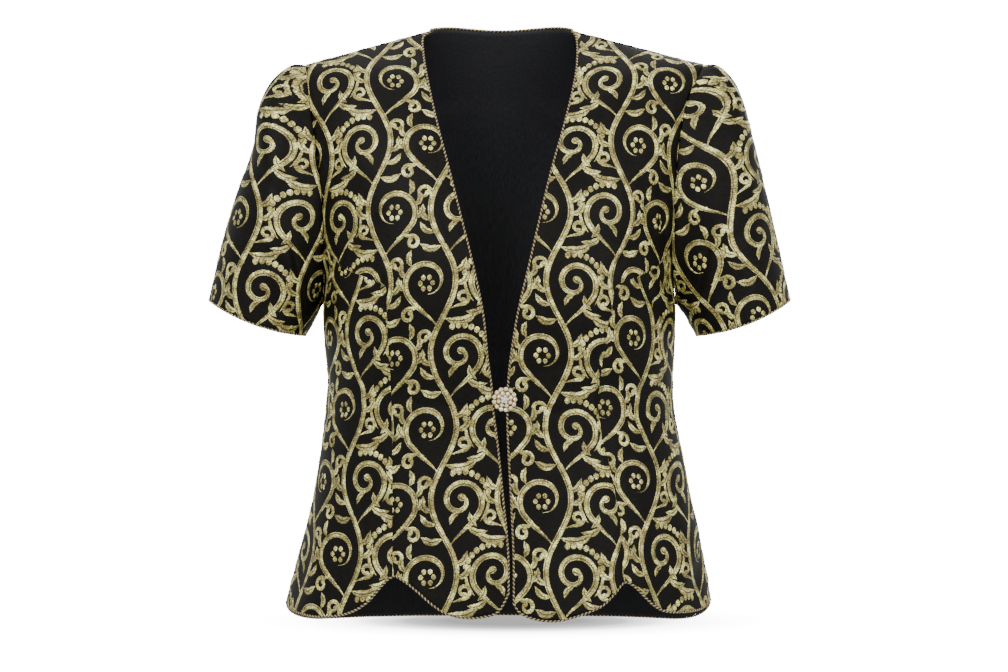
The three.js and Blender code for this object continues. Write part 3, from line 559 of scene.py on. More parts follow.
def mixColor(tree, factor, first, second, blend="MIX"):
    node = addNode(tree, "ShaderNodeMix", data_type="RGBA", blend_type=blend)
    for number, value in ((0, factor), (6, first), (7, second)):
        plug(tree, node.inputs[number], value)
    return node.outputs[2]


def math2(tree, operation, first, second):
    node = addNode(tree, "ShaderNodeMath", operation=operation)
    for socket, value in zip(node.inputs, (first, second)):
        plug(tree, socket, value)
    return node.outputs[0]


def addBump(tree, shader, height, strength, distance):
    bump = addNode(tree, "ShaderNodeBump", Strength=strength, Distance=distance, Height=height)
    tree.links.new(bump.outputs["Normal"], shader.inputs["Normal"])


def satinGround():
    material, tree, shader = newMaterial("black satin ground", color=(0.004, 0.004, 0.005), rough=0.5,
                                         gloss=0.09)
    flat = addNode(tree, "ShaderNodeUVMap", uv_map="cloth").outputs["UV"]
    threads = noise(tree, stretched(tree, flat, (160, 1500, 1)), 1.0, 2.0, Roughness=0.6)
    clouds = noise(tree, stretched(tree, flat, (38, 38, 1)), 1.0, 3.0, Roughness=0.55)
    weave = ramp(tree, threads, [(0.3, (0.0018, 0.0017, 0.0014)), (0.72, (0.0105, 0.0095, 0.0068))])
    cloudy = ramp(tree, clouds, [(0.3, 0.75), (0.7, 1.15)])
    plug(tree, shader.inputs["Base Color"], mixColor(tree, 1.0, weave, cloudy, "MULTIPLY"))
    addBump(tree, shader, threads, 0.35, 0.0003)
    return material


def goldFigure():
    material, tree, shader = newMaterial("pale gold figure", color=(0.5, 0.43, 0.17), rough=0.42, metal=0.35,
                                         gloss=0.5)
    flat = addNode(tree, "ShaderNodeUVMap", uv_map="cloth").outputs["UV"]
    stroke = addNode(tree, "ShaderNodeUVMap", uv_map="stroke").outputs["UV"]
    parts = addNode(tree, "ShaderNodeSeparateXYZ", Vector=stroke)
    cross = math2(tree, "ABSOLUTE", math2(tree, "SUBTRACT", parts.outputs["X"], 0.5), 0)
    threads = noise(tree, stretched(tree, flat, (560, 900, 1)), 1.0, 2.0, Roughness=0.65)
    patches = noise(tree, stretched(tree, flat, (75, 100, 1)), 1.0, 2.0, Roughness=0.5)
    base = ramp(tree, patches, [(0.30, (0.21, 0.17, 0.048)), (0.48, (0.41, 0.355, 0.108)),
                                (0.66, (1.0, 0.94, 0.36))])
    specks = ramp(tree, threads, [(0.36, 0.1), (0.48, 0.68), (0.62, 1.85)])
    woven = mixColor(tree, 1.0, base, specks, "MULTIPLY")
    edge = ramp(tree, cross, [(0.32, 1.0), (0.48, 0.25)])
    outlined = mixColor(tree, 1.0, woven, edge, "MULTIPLY")
    veinMark = addNode(tree, "ShaderNodeAttribute", attribute_name="vein").outputs["Fac"]
    line = ramp(tree, math2(tree, "ABSOLUTE", math2(tree, "SUBTRACT", parts.outputs["X"], veinMark), 0),
                [(0.045, 1.0), (0.09, 0.0)])
    plug(tree, shader.inputs["Base Color"], mixColor(tree, line, outlined, (0.045, 0.036, 0.016)))
    addBump(tree, shader, threads, 0.5, 0.0004)
    return material


def satinLining():
    material, tree, shader = newMaterial("black lining satin", color=(0.012, 0.012, 0.014), rough=0.45,
                                         gloss=0.1)
    place = objectPlace(tree)
    threads = noise(tree, stretched(tree, place, (900, 900, 90)), 1.0, 2.0)
    color = ramp(tree, threads, [(0.3, (0.016, 0.016, 0.0178)), (0.7, (0.027, 0.027, 0.030))])
    # painted light and painted shade inside the jacket: the lining is painted up to nearly twice as light
    # about 0.36 m below the top and down to half as light towards the hem
    height = addNode(tree, "ShaderNodeSeparateXYZ", Vector=place).outputs["Z"]
    paintedLightAndShade = ramp(tree, math2(tree, "MULTIPLY", height, -1.0),
                [(0.1, 1.0), (0.36, 1.9), (0.44, 0.9), (0.58, 0.5)])
    plug(tree, shader.inputs["Base Color"], mixColor(tree, 1.0, color, paintedLightAndShade, "MULTIPLY"))
    addBump(tree, shader, threads, 0.2, 0.0002)
    return material


def mottled(name, scale, detail, stops, **settings):  # colour that varies with a fine noise
    material, tree, shader = newMaterial(name, **settings)
    grain = noise(tree, objectPlace(tree), scale, detail)
    plug(tree, shader.inputs["Base Color"], ramp(tree, grain, stops))
    return material, tree, shader, grain


def cordFinish(name, dark, light):
    stops = [(0.3, dark), (0.7, light)]
    material, tree, shader, grain = mottled(name, 900.0, 2.0, stops, rough=0.45, metal=0.15)
    addBump(tree, shader, grain, 0.4, 0.0002)
    return material


finishes = {
    "ground": satinGround(),
    "gold": goldFigure(),
    "lining": satinLining(),
    "cordLight": cordFinish("light gold cord strand", (0.30, 0.22, 0.10), (0.72, 0.58, 0.30)),
    "cordDark": cordFinish("dark cord strand", (0.016, 0.011, 0.006), (0.055, 0.039, 0.020)),
}


def meshOf(bm, name):
    mesh = bpy.data.meshes.new(name)
    bm.to_mesh(mesh)
    bm.free()
    return mesh


def gridIndex(co, across, along):  # which column and row a vertex of a fresh grid is
    i = np.rint((co[:, 1] + 1) / 2 * across).astype(int)
    j = np.rint((co[:, 0] + 1) / 2 * along).astype(int)
    return i, j


def meshCoords(mesh):
    co = np.empty(len(mesh.vertices) * 3)
    mesh.vertices.foreach_get("co", co)
    return co.reshape(-1, 3)


def setUv(mesh, name, perVertex):
    layer = mesh.uv_layers.new(name=name)
    corners = np.empty(len(mesh.loops), dtype=np.int32)
    mesh.loops.foreach_get("vertex_index", corners)
    layer.data.foreach_set("uv", perVertex[corners].astype(np.float32).ravel())


def facesPointOut(mesh, wanted):  # True if most faces look the way the wanted normals do
    mesh.update()
    normals = np.empty(len(mesh.vertices) * 3)
    mesh.vertices.foreach_get("normal", normals)
    return np.sum(normals.reshape(-1, 3) * wanted) > 0


def linkPiece(mesh, name, materials):
    for material in materials:
        mesh.materials.append(material)
    piece = bpy.data.objects.new(name, mesh)
    bpy.context.scene.collection.objects.link(piece)
    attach(piece, "root")
    return piece


def clothMesh(name, points, normals, flat):
    across, along = points.shape[0] - 1, points.shape[1] - 1
    bm = bmesh.new()
    bmesh.ops.create_grid(bm, x_segments=along, y_segments=across, size=1)
    mesh = meshOf(bm, name)
    i, j = gridIndex(meshCoords(mesh), across, along)
    mesh.vertices.foreach_set("co", (points[i, j] * mm).ravel())
    if not facesPointOut(mesh, normals[i, j]):
        bm = bmesh.new()
        bm.from_mesh(mesh)
        bmesh.ops.reverse_faces(bm, faces=bm.faces)
        bm.to_mesh(mesh)
        bm.free()
    setUv(mesh, "cloth", flat[i, j] * mm)
    mesh.shade_smooth()
    return mesh


def clothShell(name, panel, thickness, materials):
    flat = np.stack([panel["u"], -panel["v"]], axis=-1)
    mesh = clothMesh(name, *turnSeamsIn(panel["points"], panel["normals"], flat, panel.get("seams", [])))
    piece = linkPiece(mesh, name, materials)
    solid = piece.modifiers.new("cloth thickness", "SOLIDIFY")
    solid.thickness = thickness * mm
    solid.offset = -1
    solid.material_offset = len(materials) - 1
    solid.material_offset_rim = 0
    return piece


print("laying the cloth")
for name, panel in panels.items():
    clothShell(name + "_cloth", panel, jacket["wall"],
                              [finishes["ground"], finishes["lining"]])
    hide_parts(name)

scroll = {"crown": 0.42, "sunk": 0.15, "step": 2.6, "across": 4, "fullness": 1.06, "perLevel": 0.05,
          "fullAt": 1.2, "knobLean": 38}
repeat = {"across": 68, "tall": 150, "sway": 13, "vineWide": 6.4}  # millimetres
clothReach = {"vines": 8, "repeats": 6}  # how much patterned cloth is laid out on each side of a cut
search = {"rounds": 30, "longest": 10, "beyond": 12, "least": 1e-3}


def spiral(lead, centre, radii, turns):
    path = list(lead)
    steps = max(6, int(abs(turns[1] - turns[0]) / 24))
    for share in np.linspace(0, 1, steps + 1):
        turn = math.radians(turns[0] + (turns[1] - turns[0]) * share)
        radius = radii[0] + (radii[1] - radii[0]) * share
        path.append((centre[0] + radius * math.cos(turn), centre[1] + radius * math.sin(turn)))
    return path


def leaf(root, middle, *path):  # widths at its root and middle, then its line
    return {"path": path, "wide": (root, middle, 0.8), "vein": 0.5}


def tendril(middle, bulb, lead, centre, turns):  # a small curl that ends in a knob
    return {"path": spiral(lead, centre, (7.5, 3.5), turns), "wide": (1.6, middle, 3.4), "bulb": bulb}


# A plain vine scroll: an upright vine sways from side to side and sends a spiral into each bend. Each
# list is one bend, x across and y up from where it begins; the second is turned over, above the first.
bends = [
    [
        {"path": spiral([(-3, -13), (-12, -2), (-22, 7)], (-17, 36), (24, 5.5), (232, -190)),
         "wide": (1.6, 6.6, 4.6), "bulb": 4.4, "vein": 0.32},
        {"path": spiral([], (-17, 36), (29.5, 28.5), (228, 176)), "wide": (0.8, 3.6, 0.8)},
        leaf(2.0, 7.0, (-24, 10), (-34, 3), (-45, 4)),
        leaf(1.2, 5.6, (-6, 12), (-9, 20), (-17, 25)),
        leaf(2.4, 8.6, (-2, 73), (-12, 70), (-24, 71), (-36, 78)),
        leaf(1.0, 6.0, (-34, 84), (-40, 90), (-42, 99)),
        leaf(1.8, 6.4, (8, 12), (18, 15), (24, 24)),
        leaf(1.8, 6.4, (12, 25), (20, 30), (25, 40)),
        tendril(4.4, 3.0, [(11, 40), (12, 48)], (20, 55), (190, -120)),
    ],
    [
        {"path": spiral([(-3, -13), (-12, -2), (-22, 7)], (-17, 36), (24, 12.5), (232, -85)),
         "wide": (1.6, 6.4, 1.2), "vein": 0.68},
        tendril(4.6, 3.1, [(-19, 8), (-27, 11)], (-36, 3), (60, 360)),
        leaf(2.0, 6.0, (-39, 28), (-46, 34), (-47, 43)),
        leaf(2.0, 6.0, (-39, 41), (-44, 48), (-43, 57)),
        leaf(2.0, 6.0, (-33, 53), (-36, 61), (-33, 70)),
        tendril(4.4, 3.0, [(7, 8), (13, 10)], (20, 19), (265, 590)),
        leaf(1.8, 6.6, (13, 32), (22, 36), (27, 46)),
        leaf(1.8, 6.6, (11, 46), (20, 50), (24, 60)),
        leaf(2.4, 7.6, (-2, 73), (-13, 70), (-24, 76)),
    ],
]
beadRows = [{"centre": (-17, 36), "radius": 29.5, "turns": (165, 75), "count": 8, "size": 3.5},
            {"centre": (-17, 35), "radius": 6.4, "turns": (0, 300), "count": 6, "size": 2.9}]


def walkedAlong(line):  # distance walked along a line of points
    return np.concatenate([[0], np.cumsum(np.linalg.norm(np.diff(line, axis=0), axis=1))])


def smoothPath(points, step):
    points = np.array(points, float)
    padded = np.vstack([2 * points[0] - points[1], points, 2 * points[-1] - points[-2]])
    made = []
    for k in range(1, len(padded) - 2):
        p0, p1, p2, p3 = padded[k - 1:k + 3]
        for t in np.linspace(0, 1, 8, endpoint=False):
            made.append(0.5 * (2 * p1 + (p2 - p0) * t + (2 * p0 - 5 * p1 + 4 * p2 - p3) * t * t
                               + (3 * p1 - p0 - 3 * p2 + p3) * t ** 3))
    made.append(points[-1])
    made = np.array(made)
    walked = walkedAlong(made)
    count = max(4, int(round(walked[-1] / step)))
    even = np.linspace(0, walked[-1], count + 1)
    return np.stack([np.interp(even, walked, made[:, 0]), np.interp(even, walked, made[:, 1])], axis=-1)


def ribbon(path, wide, bulb=0.0, vein=9.0, level=0):  # a vein of 9 lies off the stroke, so none shows
    line = smoothPath(path, scroll["step"])
    if bulb:  # the end turns on into its round knob
        heading = line[-1] - line[-2]
        before = line[-2] - line[-3]
        bend = 1 if before[0] * heading[1] - before[1] * heading[0] > 0 else -1
        lean = math.atan2(heading[1], heading[0]) + bend * math.radians(scroll["knobLean"])
        knob = np.array([0.35, 0.8, 1.2, 1.55, 1.85, 2.0])
        line = np.vstack([line, line[-1] + np.array([math.cos(lean), math.sin(lean)]) * knob[:, None] * bulb])
    walked = walkedAlong(line)
    share = walked / walked[-1]
    tip = wide[2] * (1 if bulb else 0.3)
    half = np.interp(share, [0, 0.05, 0.28, 0.72, 0.95, 1],
                     [wide[0] * 0.3, wide[0] * 0.9, wide[1], wide[1], wide[2], tip])
    half = half / 2 * scroll["fullness"]
    if bulb:
        fromKnob = (walked[-1] - bulb - walked) / bulb
        knobHalf = bulb * np.sqrt(np.clip(1 - fromKnob ** 2, 0, 1))
        half = np.where(np.abs(fromKnob) < 1, np.maximum(np.where(fromKnob > 0, half, 0), knobHalf), half)
        half[-1] = bulb * 0.12
    tangent = np.gradient(line, axis=0)
    tangent /= np.linalg.norm(tangent, axis=1, keepdims=True)
    normal = np.stack([-tangent[:, 1], tangent[:, 0]], axis=-1)
    cross = np.linspace(-1, 1, scroll["across"] + 1)
    flat = line[:, None, :] + normal[:, None, :] * (half[:, None] * cross[None, :])[..., None]
    crown = (scroll["crown"] + scroll["perLevel"] * level) * (1 - cross ** 4)[None, :]
    crown = crown * np.minimum(1, half / scroll["fullAt"])[:, None]
    height = crown - scroll["sunk"] * (cross ** 4)[None, :]
    stroke = np.stack(np.broadcast_arrays(0.5 + 0.5 * cross[None, :], walked[:, None]), axis=-1)
    return {"flat": flat, "height": height, "stroke": stroke, "vein": vein}


def roundBead(x, y, radius):
    reach = radius * 0.96
    made = ribbon([(x, y - reach), (x, y), (x, y + reach)], (radius, 2 * radius, radius), level=1)
    ys = made["flat"][:, 2, 1] - y
    half = np.sqrt(np.clip(radius ** 2 - ys ** 2, (radius * 0.1) ** 2, None))
    cross = np.linspace(-1, 1, scroll["across"] + 1)
    made["flat"][..., 0] = x + half[:, None] * cross[None, :]
    return made


def vineRibbons():
    sway = [(repeat["sway"] * math.sin(2 * math.pi * y / repeat["tall"]), y)
            for y in range(-5, repeat["tall"] + 6, 5)]
    made = [ribbon(sway, (repeat["vineWide"],) * 3, vein=0.3)]
    for number, strokes in enumerate(bends):
        row = beadRows[number]
        strips = [ribbon(level=layer % 5, **stroke) for layer, stroke in enumerate(strokes)]
        for turn in np.radians(np.linspace(*row["turns"], row["count"])):
            strips.append(roundBead(row["centre"][0] + row["radius"] * math.cos(turn),
                                    row["centre"][1] + row["radius"] * math.sin(turn), row["size"]))
        for strip in strips:
            strip["flat"] = strip["flat"] * (1 - 2 * number, 1) + (0, number * repeat["tall"] / 2)
        made += strips
    return made


figureRibbons = vineRibbons()


def sample(values, i, j):
    i0 = np.clip(np.floor(i).astype(int), 0, values.shape[0] - 2)
    j0 = np.clip(np.floor(j).astype(int), 0, values.shape[1] - 2)
    fi, fj = i - i0, j - j0
    if values.ndim == 3:
        fi, fj = fi[..., None], fj[..., None]
    a, b = values[i0, j0], values[i0 + 1, j0]
    c, d = values[i0, j0 + 1], values[i0 + 1, j0 + 1]
    return a * (1 - fi) * (1 - fj) + b * fi * (1 - fj) + c * (1 - fi) * fj + d * fi * fj


def findOnGrid(panel, u, v):  # which column and row of the panel lies under a flat place
    columns, rows = panel["u"].shape
    gridU, gridV = panel["u"], panel["v"]
    stepI = np.gradient(gridU, axis=0)
    stepJ = np.gradient(gridU, axis=1)
    riseI = np.gradient(gridV, axis=0)
    riseJ = np.gradient(gridV, axis=1)
    midRow = rows // 2
    order = np.argsort(gridU[:, midRow])
    i = np.interp(u, gridU[order, midRow], np.arange(columns)[order])
    j = np.interp(v, gridV[columns // 2], np.arange(rows))
    longest, beyond, least = search["longest"], search["beyond"], search["least"]
    for _ in range(search["rounds"]):
        offU = u - sample(gridU, i, j)
        offV = v - sample(gridV, i, j)
        ci, cj = np.clip(i, 0, columns - 1), np.clip(j, 0, rows - 1)
        a, b = sample(stepI, ci, cj), sample(stepJ, ci, cj)
        c, d = sample(riseI, ci, cj), sample(riseJ, ci, cj)
        det = a * d - b * c
        det = np.where(np.abs(det) < least, least, det)
        i = i + np.clip((d * offU - b * offV) / det, -longest, longest)
        j = j + np.clip((a * offV - c * offU) / det, -longest, longest)
        i, j = np.clip(i, -beyond, columns - 1 + beyond), np.clip(j, -beyond, rows - 1 + beyond)
    return i, j


def figuresOn(panel, anchor, limit, lean=0.0):  # the cloth's own warp may lean from the panel's
    made = []
    cosine, sine = math.cos(math.radians(lean)), math.sin(math.radians(lean))
    vines, repeats = clothReach["vines"], clothReach["repeats"]
    for k in range(-vines, vines + 1):  # every second vine is turned over and half a repeat higher
        odd = k % 2
        for m in range(-repeats, repeats + 1):
            for strip in figureRibbons:
                x = (1 - 2 * odd) * strip["flat"][..., 0] + k * repeat["across"]
                y = strip["flat"][..., 1] + (m + odd / 2) * repeat["tall"]
                u = anchor[0] + x * cosine - y * sine
                v = anchor[1] - x * sine - y * cosine
                if (u.max() < panel["u"].min() or u.min() > panel["u"].max()
                        or v.max() < panel["v"].min() or v.min() > panel["v"].max()):
                    continue
                made.append({"u": u, "v": v, "height": strip["height"], "stroke": strip["stroke"],
                             "vein": strip["vein"]})
    u = np.concatenate([m["u"].ravel() for m in made])
    v = np.concatenate([m["v"].ravel() for m in made])
    i, j = findOnGrid(panel, u, v)
    columns, rows = panel["u"].shape
    start = 0
    kept = []
    for strip in made:
        size = strip["u"].size
        shape = strip["u"].shape
        si = i[start:start + size].reshape(shape)
        sj = j[start:start + size].reshape(shape)
        start += size
        ci, cj, inside = limit(si, sj, columns, rows)
        if inside.any():
            strip.update(i=ci, j=cj, inside=inside)
            kept.append(strip)
    return kept


def wholePanel(i, j, columns, rows):
    inside = (i >= 0) & (i <= columns - 1) & (j >= 0) & (j <= rows - 1)
    return np.clip(i, 0, columns - 1), np.clip(j, 0, rows - 1), inside


dartSeam = {"armholeDown": 172, "tipDown": 262, "curve": 1.3}
armRow = dartSeam["armholeDown"] / jacket["underarm"] * panelRows["toUnderarm"]
tipRow = dartSeam["tipDown"] / jacket["underarm"] * panelRows["toUnderarm"]


def dartColumnAt(j):  # the seam's column, from the armhole down to the dart and along it
    q = np.clip((j - armRow) / (tipRow - armRow), 0, 1)
    return panelSizes["frontInner"] + panelSizes["frontOuter"] * np.cos(q * math.pi / 2) ** dartSeam["curve"]


def mainPart(i, j, columns, rows):
    seam = dartColumnAt(j)
    ci, cj, inside = wholePanel(i, j, columns, rows)
    return np.minimum(ci, seam), cj, inside & (i <= seam)


def sidePart(i, j, columns, rows):
    seam = dartColumnAt(j)
    ci, cj, inside = wholePanel(i, j, columns, rows)
    return np.maximum(ci, seam), np.maximum(cj, armRow), inside & (i >= seam) & (j >= armRow)


def scrollPiece(name, panel, strips):
    bm = bmesh.new()
    for strip in strips:
        along, across = strip["u"].shape[0] - 1, strip["u"].shape[1] - 1
        bmesh.ops.create_grid(bm, x_segments=across, y_segments=along, size=1)
    mesh = meshOf(bm, name)
    co = meshCoords(mesh)
    place, wanted = np.empty_like(co), np.empty_like(co)
    flat, stroke = np.empty((len(co), 2)), np.empty((len(co), 2))
    vein, inside = np.empty(len(co)), np.empty(len(co), bool)
    start = 0
    for strip in strips:
        along, across = strip["u"].shape[0] - 1, strip["u"].shape[1] - 1
        end = start + (along + 1) * (across + 1)
        row, column = gridIndex(co[start:end], along, across)
        i, j = strip["i"][row, column], strip["j"][row, column]
        normal = sample(panel["normals"], i, j)
        place[start:end] = sample(panel["points"], i, j) + normal * strip["height"][row, column][:, None]
        wanted[start:end] = normal
        flat[start:end, 0] = strip["u"][row, column]
        flat[start:end, 1] = -strip["v"][row, column]
        stroke[start:end] = strip["stroke"][row, column]
        vein[start:end] = strip["vein"]
        inside[start:end] = strip["inside"][row, column]
        start = end
    mesh.vertices.foreach_set("co", (place * mm).ravel())
    mesh.update()
    stroke[:, 1] *= mm
    setUv(mesh, "cloth", flat * mm)
    setUv(mesh, "stroke", stroke)
    mesh.attributes.new("vein", "FLOAT", "POINT").data.foreach_set("value", vein.astype(np.float32))
    bm = bmesh.new()
    bm.from_mesh(mesh)
    bm.verts.ensure_lookup_table()
    outside = [face for face in bm.faces if not any(inside[vert.index] for vert in face.verts)]
    turnOver = [face for face in bm.faces if face.normal.dot(Vector(wanted[face.verts[0].index])) < 0]
    bmesh.ops.reverse_faces(bm, faces=turnOver)
    bmesh.ops.delete(bm, geom=outside, context="FACES")
    bmesh.ops.dissolve_degenerate(bm, dist=0.00002, edges=bm.edges)
    bm.to_mesh(mesh)
    bm.free()
    mesh.shade_smooth()
    return linkPiece(mesh, name, [finishes["gold"]])


# Where each piece is cut out of the patterned cloth, in the flat cloth's millimetres.
frontCuts = {"front_right": {"anchor": (10, 40), "beyondDart": (44, 15)},
             "front_left": {"anchor": (-10, 115), "beyondDart": (-44, 90)}}
backCut = (0, 30)
sleeveCuts = {"sleeve_right": {"anchor": (0, -40), "lean": 20.0},
              "sleeve_left": {"anchor": (0, -115), "lean": 0.0}}

print("weaving the scrolls")
for name, cut in frontCuts.items():
    panel = panels[name]
    strips = figuresOn(panel, cut["anchor"], mainPart) + figuresOn(panel, cut["beyondDart"], sidePart)
    scrollPiece(name + "_scrolls", panel, strips)
scrollPiece("back_scrolls", panels["back"], figuresOn(panels["back"], backCut, wholePanel))
for name, cut in sleeveCuts.items():
    strips = figuresOn(panels[name], cut["anchor"], wholePanel, cut["lean"])
    scrollPiece(name + "_scrolls", panels[name], strips)

cord = {"strandRadius": 0.78, "twistRadius": 0.66, "pitch": 4.2, "perTurn": 8, "gap": 0.8, "inward": 0.65}


def cordPath(points, normals, side, closed):
    along = np.gradient(points, axis=0)
    if closed:
        along[0] = along[-1] = points[1] - points[-2]
    along /= np.linalg.norm(along, axis=1, keepdims=True)
    away = np.cross(along, normals) * side
    away /= np.linalg.norm(away, axis=1, keepdims=True)
    return points + away * cord["gap"] - normals * cord["inward"], normals, away


def twistedCord(node, points, normals, side, closed=False):
    name = node + "_twist"
    centre, up, away = cordPath(points, normals, side, closed)
    walked = walkedAlong(centre)
    turns = round(walked[-1] / cord["pitch"])
    count = turns * cord["perTurn"]
    even = np.linspace(0, walked[-1], count + 1)[:count if closed else count + 1]

    def along(values):
        return np.stack([np.interp(even, walked, values[:, k]) for k in range(3)], axis=-1)

    centre, up, away = along(centre), along(up), along(away)
    phase = 2 * math.pi * turns * even / walked[-1]
    curve = bpy.data.curves.new(name, "CURVE")
    curve.dimensions = "3D"
    curve.bevel_depth = cord["strandRadius"] * mm
    curve.bevel_resolution = 0
    curve.use_fill_caps = True
    curve.materials.append(finishes["cordLight"])
    curve.materials.append(finishes["cordDark"])
    for strand in range(2):
        turn = (phase + math.pi * strand)[:, None]
        line = centre + (away * np.cos(turn) + up * np.sin(turn)) * cord["twistRadius"]
        spline = curve.splines.new("POLY")
        spline.points.add(len(line) - 1)
        spline.points.foreach_set("co", np.hstack([line * mm, np.ones((len(line), 1))]).ravel())
        spline.use_cyclic_u = closed
        spline.use_smooth = True
        spline.material_index = strand
    piece = bpy.data.objects.new(name, curve)
    bpy.context.scene.collection.objects.link(piece)
    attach(piece, "root")
    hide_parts(node)


print("twisting the cords")
hemRow = np.s_[:, -1]
for side, sign in sideSign.items():
    front, arm = panels[f"front_{side}"], panels[f"sleeve_{side}"]
    twistedCord(f"edge_cord_{side}", front["points"][0], front["normals"][0], sign)
    twistedCord(f"hem_cord_{side}", front["points"][hemRow], front["normals"][hemRow], sign)
    twistedCord(f"cuff_cord_{side}", arm["points"][hemRow], arm["normals"][hemRow], sign, closed=True)
back = panels["back"]
neckColumns = int(round(jacket["neckShare"] * panelSizes["backHalf"]))
neckSpan = slice(panelSizes["backHalf"] - neckColumns, panelSizes["backHalf"] + neckColumns + 1)
twistedCord("neck_cord", back["points"][neckSpan, 0], back["normals"][neckSpan, 0], 1)
twistedCord("hem_cord_back", back["points"][hemRow], back["normals"][hemRow], -1)

lining = {"inside": 2.0, "thickness": 0.9, "facing": 20, "facingStep": 0.35, "facingEdge": 0.8,
          "seamDepth": 0.5, "seamWidth": 1.6, "seamFrom": 40, "wave": 0.5, "waveLengths": (23, 160, 70, 90)}


def liningPanel():
    points, normals = back["points"], back["normals"]
    walked = runLength(points, 1)
    across = back["u"]
    seamFrom = lining["seamFrom"]
    inward = np.full(walked.shape, float(lining["inside"]))
    inward += lining["facingStep"] / (1 + np.exp((walked - lining["facing"]) / lining["facingEdge"]))
    inward -= (lining["seamDepth"] * bell(across, lining["seamWidth"])
               * np.clip((walked - seamFrom) / seamFrom, 0, 1))
    a, b, c, d = lining["waveLengths"]
    inward += lining["wave"] * np.sin(across / a + walked / b) * np.sin(walked / c + across / d)
    return {"points": points - normals * inward[..., None], "normals": normals, "u": across, "v": back["v"]}


print("hanging the lining")
backLining = clothShell("back_lining_satin", liningPanel(), lining["thickness"], [finishes["lining"]])
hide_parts("back_lining")

button = {  # millimetres; the setting's profile runs out from its back and in to the top of its crown
    "profile": [(0, 0), (11.2, 0), (11.9, 0.7), (11.4, 1.4), (9.4, 1.9), (8.4, 2.7), (5.4, 3.3),
                (4.4, 3.9), (0, 4.1)],
    "rings": rowsOf("count radius stone lift tilt phase material", (13, 11.2, 2.45, 2.1, 32, 0.0, 0),
                    (8, 6.8, 2.2, 3.6, 20, 0.3, 0), (5, 3.0, 1.6, 4.7, 10, 0.1, 1),
                    (1, 0.0, 1.9, 5.1, 0, 0.0, 1)),
    # shares of a stone's radius
    "table": 0.55, "crownDepth": 0.55, "culet": 0.5, "pavilionDepth": 0.75, "pavilionDrop": 0.65,
}


def buttonPlace():
    low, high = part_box("button")
    return Vector(((low[0] + high[0]) / 2, high[1], (low[2] + high[2]) / 2))


def faceForward(bm, centre):  # built round +Z, turned to look along -Y
    bmesh.ops.rotate(bm, verts=bm.verts, cent=(0, 0, 0), matrix=Matrix.Rotation(math.pi / 2, 3, "X"))
    bmesh.ops.translate(bm, verts=bm.verts, vec=centre)


def settingPiece(centre):
    stops = [(0.3, (0.07, 0.045, 0.02)), (0.7, (0.22, 0.15, 0.07))]
    material = mottled("gold setting", 420.0, 3.0, stops, color=(0.25, 0.16, 0.07), metal=0.8, rough=0.4)[0]
    bm = bmesh.new()
    verts = [bm.verts.new((x * mm, 0, z * mm)) for x, z in button["profile"]]
    edges = [bm.edges.new(pair) for pair in zip(verts, verts[1:])]
    bmesh.ops.spin(bm, geom=verts + edges, cent=(0, 0, 0), axis=(0, 0, 1), angle=2 * math.pi, steps=45,
                   use_merge=True)
    bmesh.ops.remove_doubles(bm, verts=bm.verts, dist=0.00001)
    bmesh.ops.recalc_face_normals(bm, faces=bm.faces)
    faceForward(bm, centre)
    mesh = meshOf(bm, "button_setting")
    mesh.shade_smooth()
    return linkPiece(mesh, "button_setting", [material])


def stonesPiece(centre):
    warm = [(0.35, (0.60, 0.44, 0.20)), (0.5, (1.0, 0.86, 0.48)), (0.65, (1.0, 0.96, 0.72))]
    cold = [(0.36, (0.68, 0.62, 0.68)), (0.5, (0.97, 0.95, 0.98)), (0.64, (1.0, 1.0, 1.0))]
    champagne = mottled("champagne paste stone", 620.0, 1.0, warm, color=(0.95, 0.85, 0.6), metal=0.2,
                        rough=0.15, coat=1.0, coatRough=0.05)[0]
    clear = mottled("clear paste stone", 700.0, 1.0, cold, color=(0.97, 0.96, 0.98), metal=0.1,
                    rough=0.1, coat=1.0, coatRough=0.02)[0]
    bm = bmesh.new()
    for ring in button["rings"]:
        for k in range(ring["count"]):
            turn = 2 * math.pi * (k / ring["count"]) + ring["phase"]
            size = ring["stone"] * mm
            place = (Matrix.Rotation(turn, 4, "Z")
                     @ Matrix.Translation((ring["radius"] * mm, 0, ring["lift"] * mm))
                     @ Matrix.Rotation(math.radians(ring["tilt"]), 4, "Y"))
            before = len(bm.faces)
            bmesh.ops.create_cone(bm, cap_ends=True, segments=8, radius1=size, radius2=size * button["table"],
                                  depth=size * button["crownDepth"], matrix=place)
            rest = place @ Matrix.Translation((0, 0, -size * button["pavilionDrop"]))
            bmesh.ops.create_cone(bm, cap_ends=True, segments=8, radius1=size * button["culet"], radius2=size,
                                  depth=size * button["pavilionDepth"], matrix=rest)
            bm.faces.ensure_lookup_table()
            for face in bm.faces[before:]:
                face.material_index = ring["material"]
    faceForward(bm, centre)
    return linkPiece(meshOf(bm, "button_stones"), "button_stones", [champagne, clear])


print("setting the button")
buttonBack = buttonPlace()
setting = settingPiece(buttonBack)
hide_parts("button")
stonesPiece(buttonBack)
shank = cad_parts["button_shank"]
shank.data.materials.clear()
shank.data.materials.append(setting.data.materials[0])

stage = {
    "floorZ": -0.628, "floorHalf": 40, "white": 17.0, "ambient": 0.85,
    # the floor's emission is dimmed in an oval under the hem: a painted shadow, cast by nothing
    "shadowAt": (0.014, 0.10, -0.628), "shadowHalf": (0.18, 0.135),
    "shadow": [(0.2, 0.032), (0.325, 0.06), (0.425, 0.17), (0.5, 0.42), (0.65, 0.75), (0.8, 1.0)],
    "lampsLookAt": (0, 0, -0.3),
    "lamps": rowsOf("name place size power", ("key", (-1.3, -2.3, 1.3), 1.4, 42),
                    ("fill", (1.5, -2.1, 0.5), 1.6, 26), ("top", (0, 0.4, 2.2), 1.8, 22),
                    ("behind", (0.6, 2.4, 0.8), 1.4, 40)),
    "camera": (0.0032, -3.4, -0.32025), "lens": 115.64, "sensor": 36,
}


